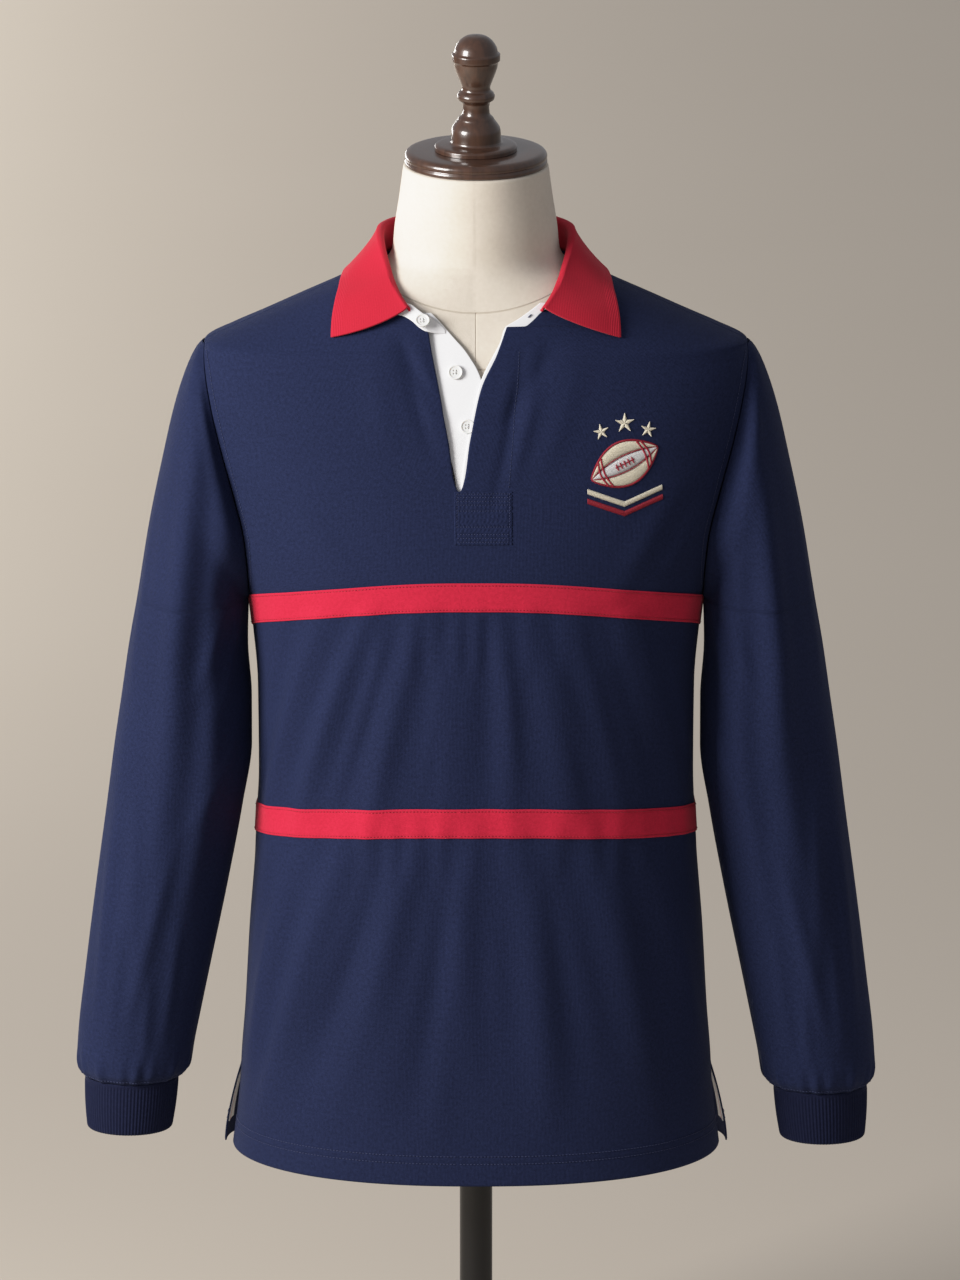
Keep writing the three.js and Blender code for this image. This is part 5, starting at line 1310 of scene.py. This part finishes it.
for turn, size in ((-36, 6.8), (0, 8.4), (36, 6.8)):
    middle = np.array([STAR_ARC * np.sin(np.radians(turn)), BALL_UP + STAR_ARC * np.cos(np.radians(turn))])
    for arm in range(5):
        way = np.radians(90 - turn / 3 + 72 * arm)
        ahead, aside = np.array([np.cos(way), np.sin(way)]), np.array([-np.sin(way), np.cos(way)])
        reach = np.arange(0.25, size - 0.2, SATIN_PITCH)[:, None]
        half = np.interp(reach, [0, 0.31 * size, size], [0.05, 0.226 * size, 0.1])
        spine = middle + ahead * reach
        cream_work.append(satin(spine - aside * half, spine + aside * half, 0.2, stations=4))
across = np.arange(-CHEVRON_WIDE, CHEVRON_WIDE, SATIN_PITCH)
for drop, work in ((-20.5, cream_work), (-28.5, red_work)):
    line = drop - CHEVRON_DROP * (1 - np.abs(across) / CHEVRON_WIDE)
    foot, top = (np.stack([across, line + half], axis=-1) for half in (-CHEVRON_HIGH / 2, CHEVRON_HIGH / 2))
    work.append(satin(foot, top, 0.15, bulge=0.45, stations=5))
thread_piece("badge_cream_threads", cream_work, cream_thread, "white_twill")
thread_piece("badge_white_threads", white_work, white_thread, "white_twill")
thread_piece("badge_red_threads", red_work, red_thread_painted_shade, "red_band")

# Camera, light and floor.
# The camera stands 9 m away and 13.5 degrees above level. A large soft light stands on the left, a low strip behind
# lights the plain pale floor from the same side, and the room gives the rest.
AIM = np.array([0.0034, 0, 0.74724])
DISTANCE = 9.0
PITCH = np.radians(13.5)
camera_data = bpy.data.cameras.new("camera")
camera_data.lens = 297.8
camera_data.sensor_width = 36
camera_data.clip_end = 100
camera = bpy.data.objects.new("camera", camera_data)
camera.location = AIM + DISTANCE * np.array([0, -np.cos(PITCH), np.sin(PITCH)])
camera.rotation_euler = (np.pi / 2 - PITCH, 0, 0)
bpy.context.collection.objects.link(camera)
bpy.context.scene.camera = camera


def soft_light(name, place, aim, width, height, watts, colour):
    """A rectangular light at a place, turned to an aim, that the camera itself doesn't see."""
    data = bpy.data.lights.new(name, "AREA")
    data.shape, data.size, data.size_y, data.energy, data.color = "RECTANGLE", width, height, watts, colour
    made = bpy.data.objects.new(name, data)
    way = np.array(aim) - np.array(place)
    made.location = place
    made.rotation_euler = (np.arctan2(np.hypot(way[0], way[1]), -way[2]), 0, np.arctan2(way[1], way[0]) - np.pi / 2)
    made.visible_camera = False
    bpy.context.collection.objects.link(made)


soft_light("key", (-2.08, -1.3, 1.75), (0, 0, 0.75), 1.1, 1.2, 101, (1, 0.98, 0.955))
soft_light("strip", (-2, 6.6, 0.9), (0.3, 6.6, 0), 9, 0.5, 116, (1, 0.975, 0.945))
floor_finish, start = finish("pale_floor", Specular_IOR_Level=0.1)
feed(
    floor_finish,
    Base_Color=blended(mottled(start, 0.8), (0.585, 0.527, 0.452, 1), (0.615, 0.557, 0.482, 1)),
    Roughness=mottled(start, 30) * 0.1 + 0.85,
)
floor_mesh = bpy.data.meshes.new("floor")
floor_mesh.from_pydata([(-30, -30, 0), (30, -30, 0), (30, 30, 0), (-30, 30, 0)], [], [(0, 1, 2, 3)])
floor = bpy.data.objects.new("floor", floor_mesh)
floor_mesh.materials.append(floor_finish)
bpy.context.collection.objects.link(floor)
world = bpy.data.worlds.new("studio")
world.use_nodes = True
world.node_tree.nodes["Background"].inputs["Color"].default_value = (0.96, 0.96, 1.0, 1)
world.node_tree.nodes["Background"].inputs["Strength"].default_value = 0.34
bpy.context.scene.world = world
# The picture's tones run straight up to the knee, and then bend over towards white by an exponential.
BRIGHTEST = 2.2
KNEE = 0.7
view = bpy.context.scene.view_settings
view.view_transform = "Standard"
view.use_curve_mapping = True
view.curve_mapping.white_level = (BRIGHTEST, BRIGHTEST, BRIGHTEST)
for bright in (0.35, 0.7, 0.85, 1.0, 1.25, 1.6):
    shown = bright if bright <= KNEE else 1 - (1 - KNEE) * np.exp(-(bright - KNEE) / 0.3)
    view.curve_mapping.curves[3].points.new(bright / BRIGHTEST, shown)
view.curve_mapping.update()
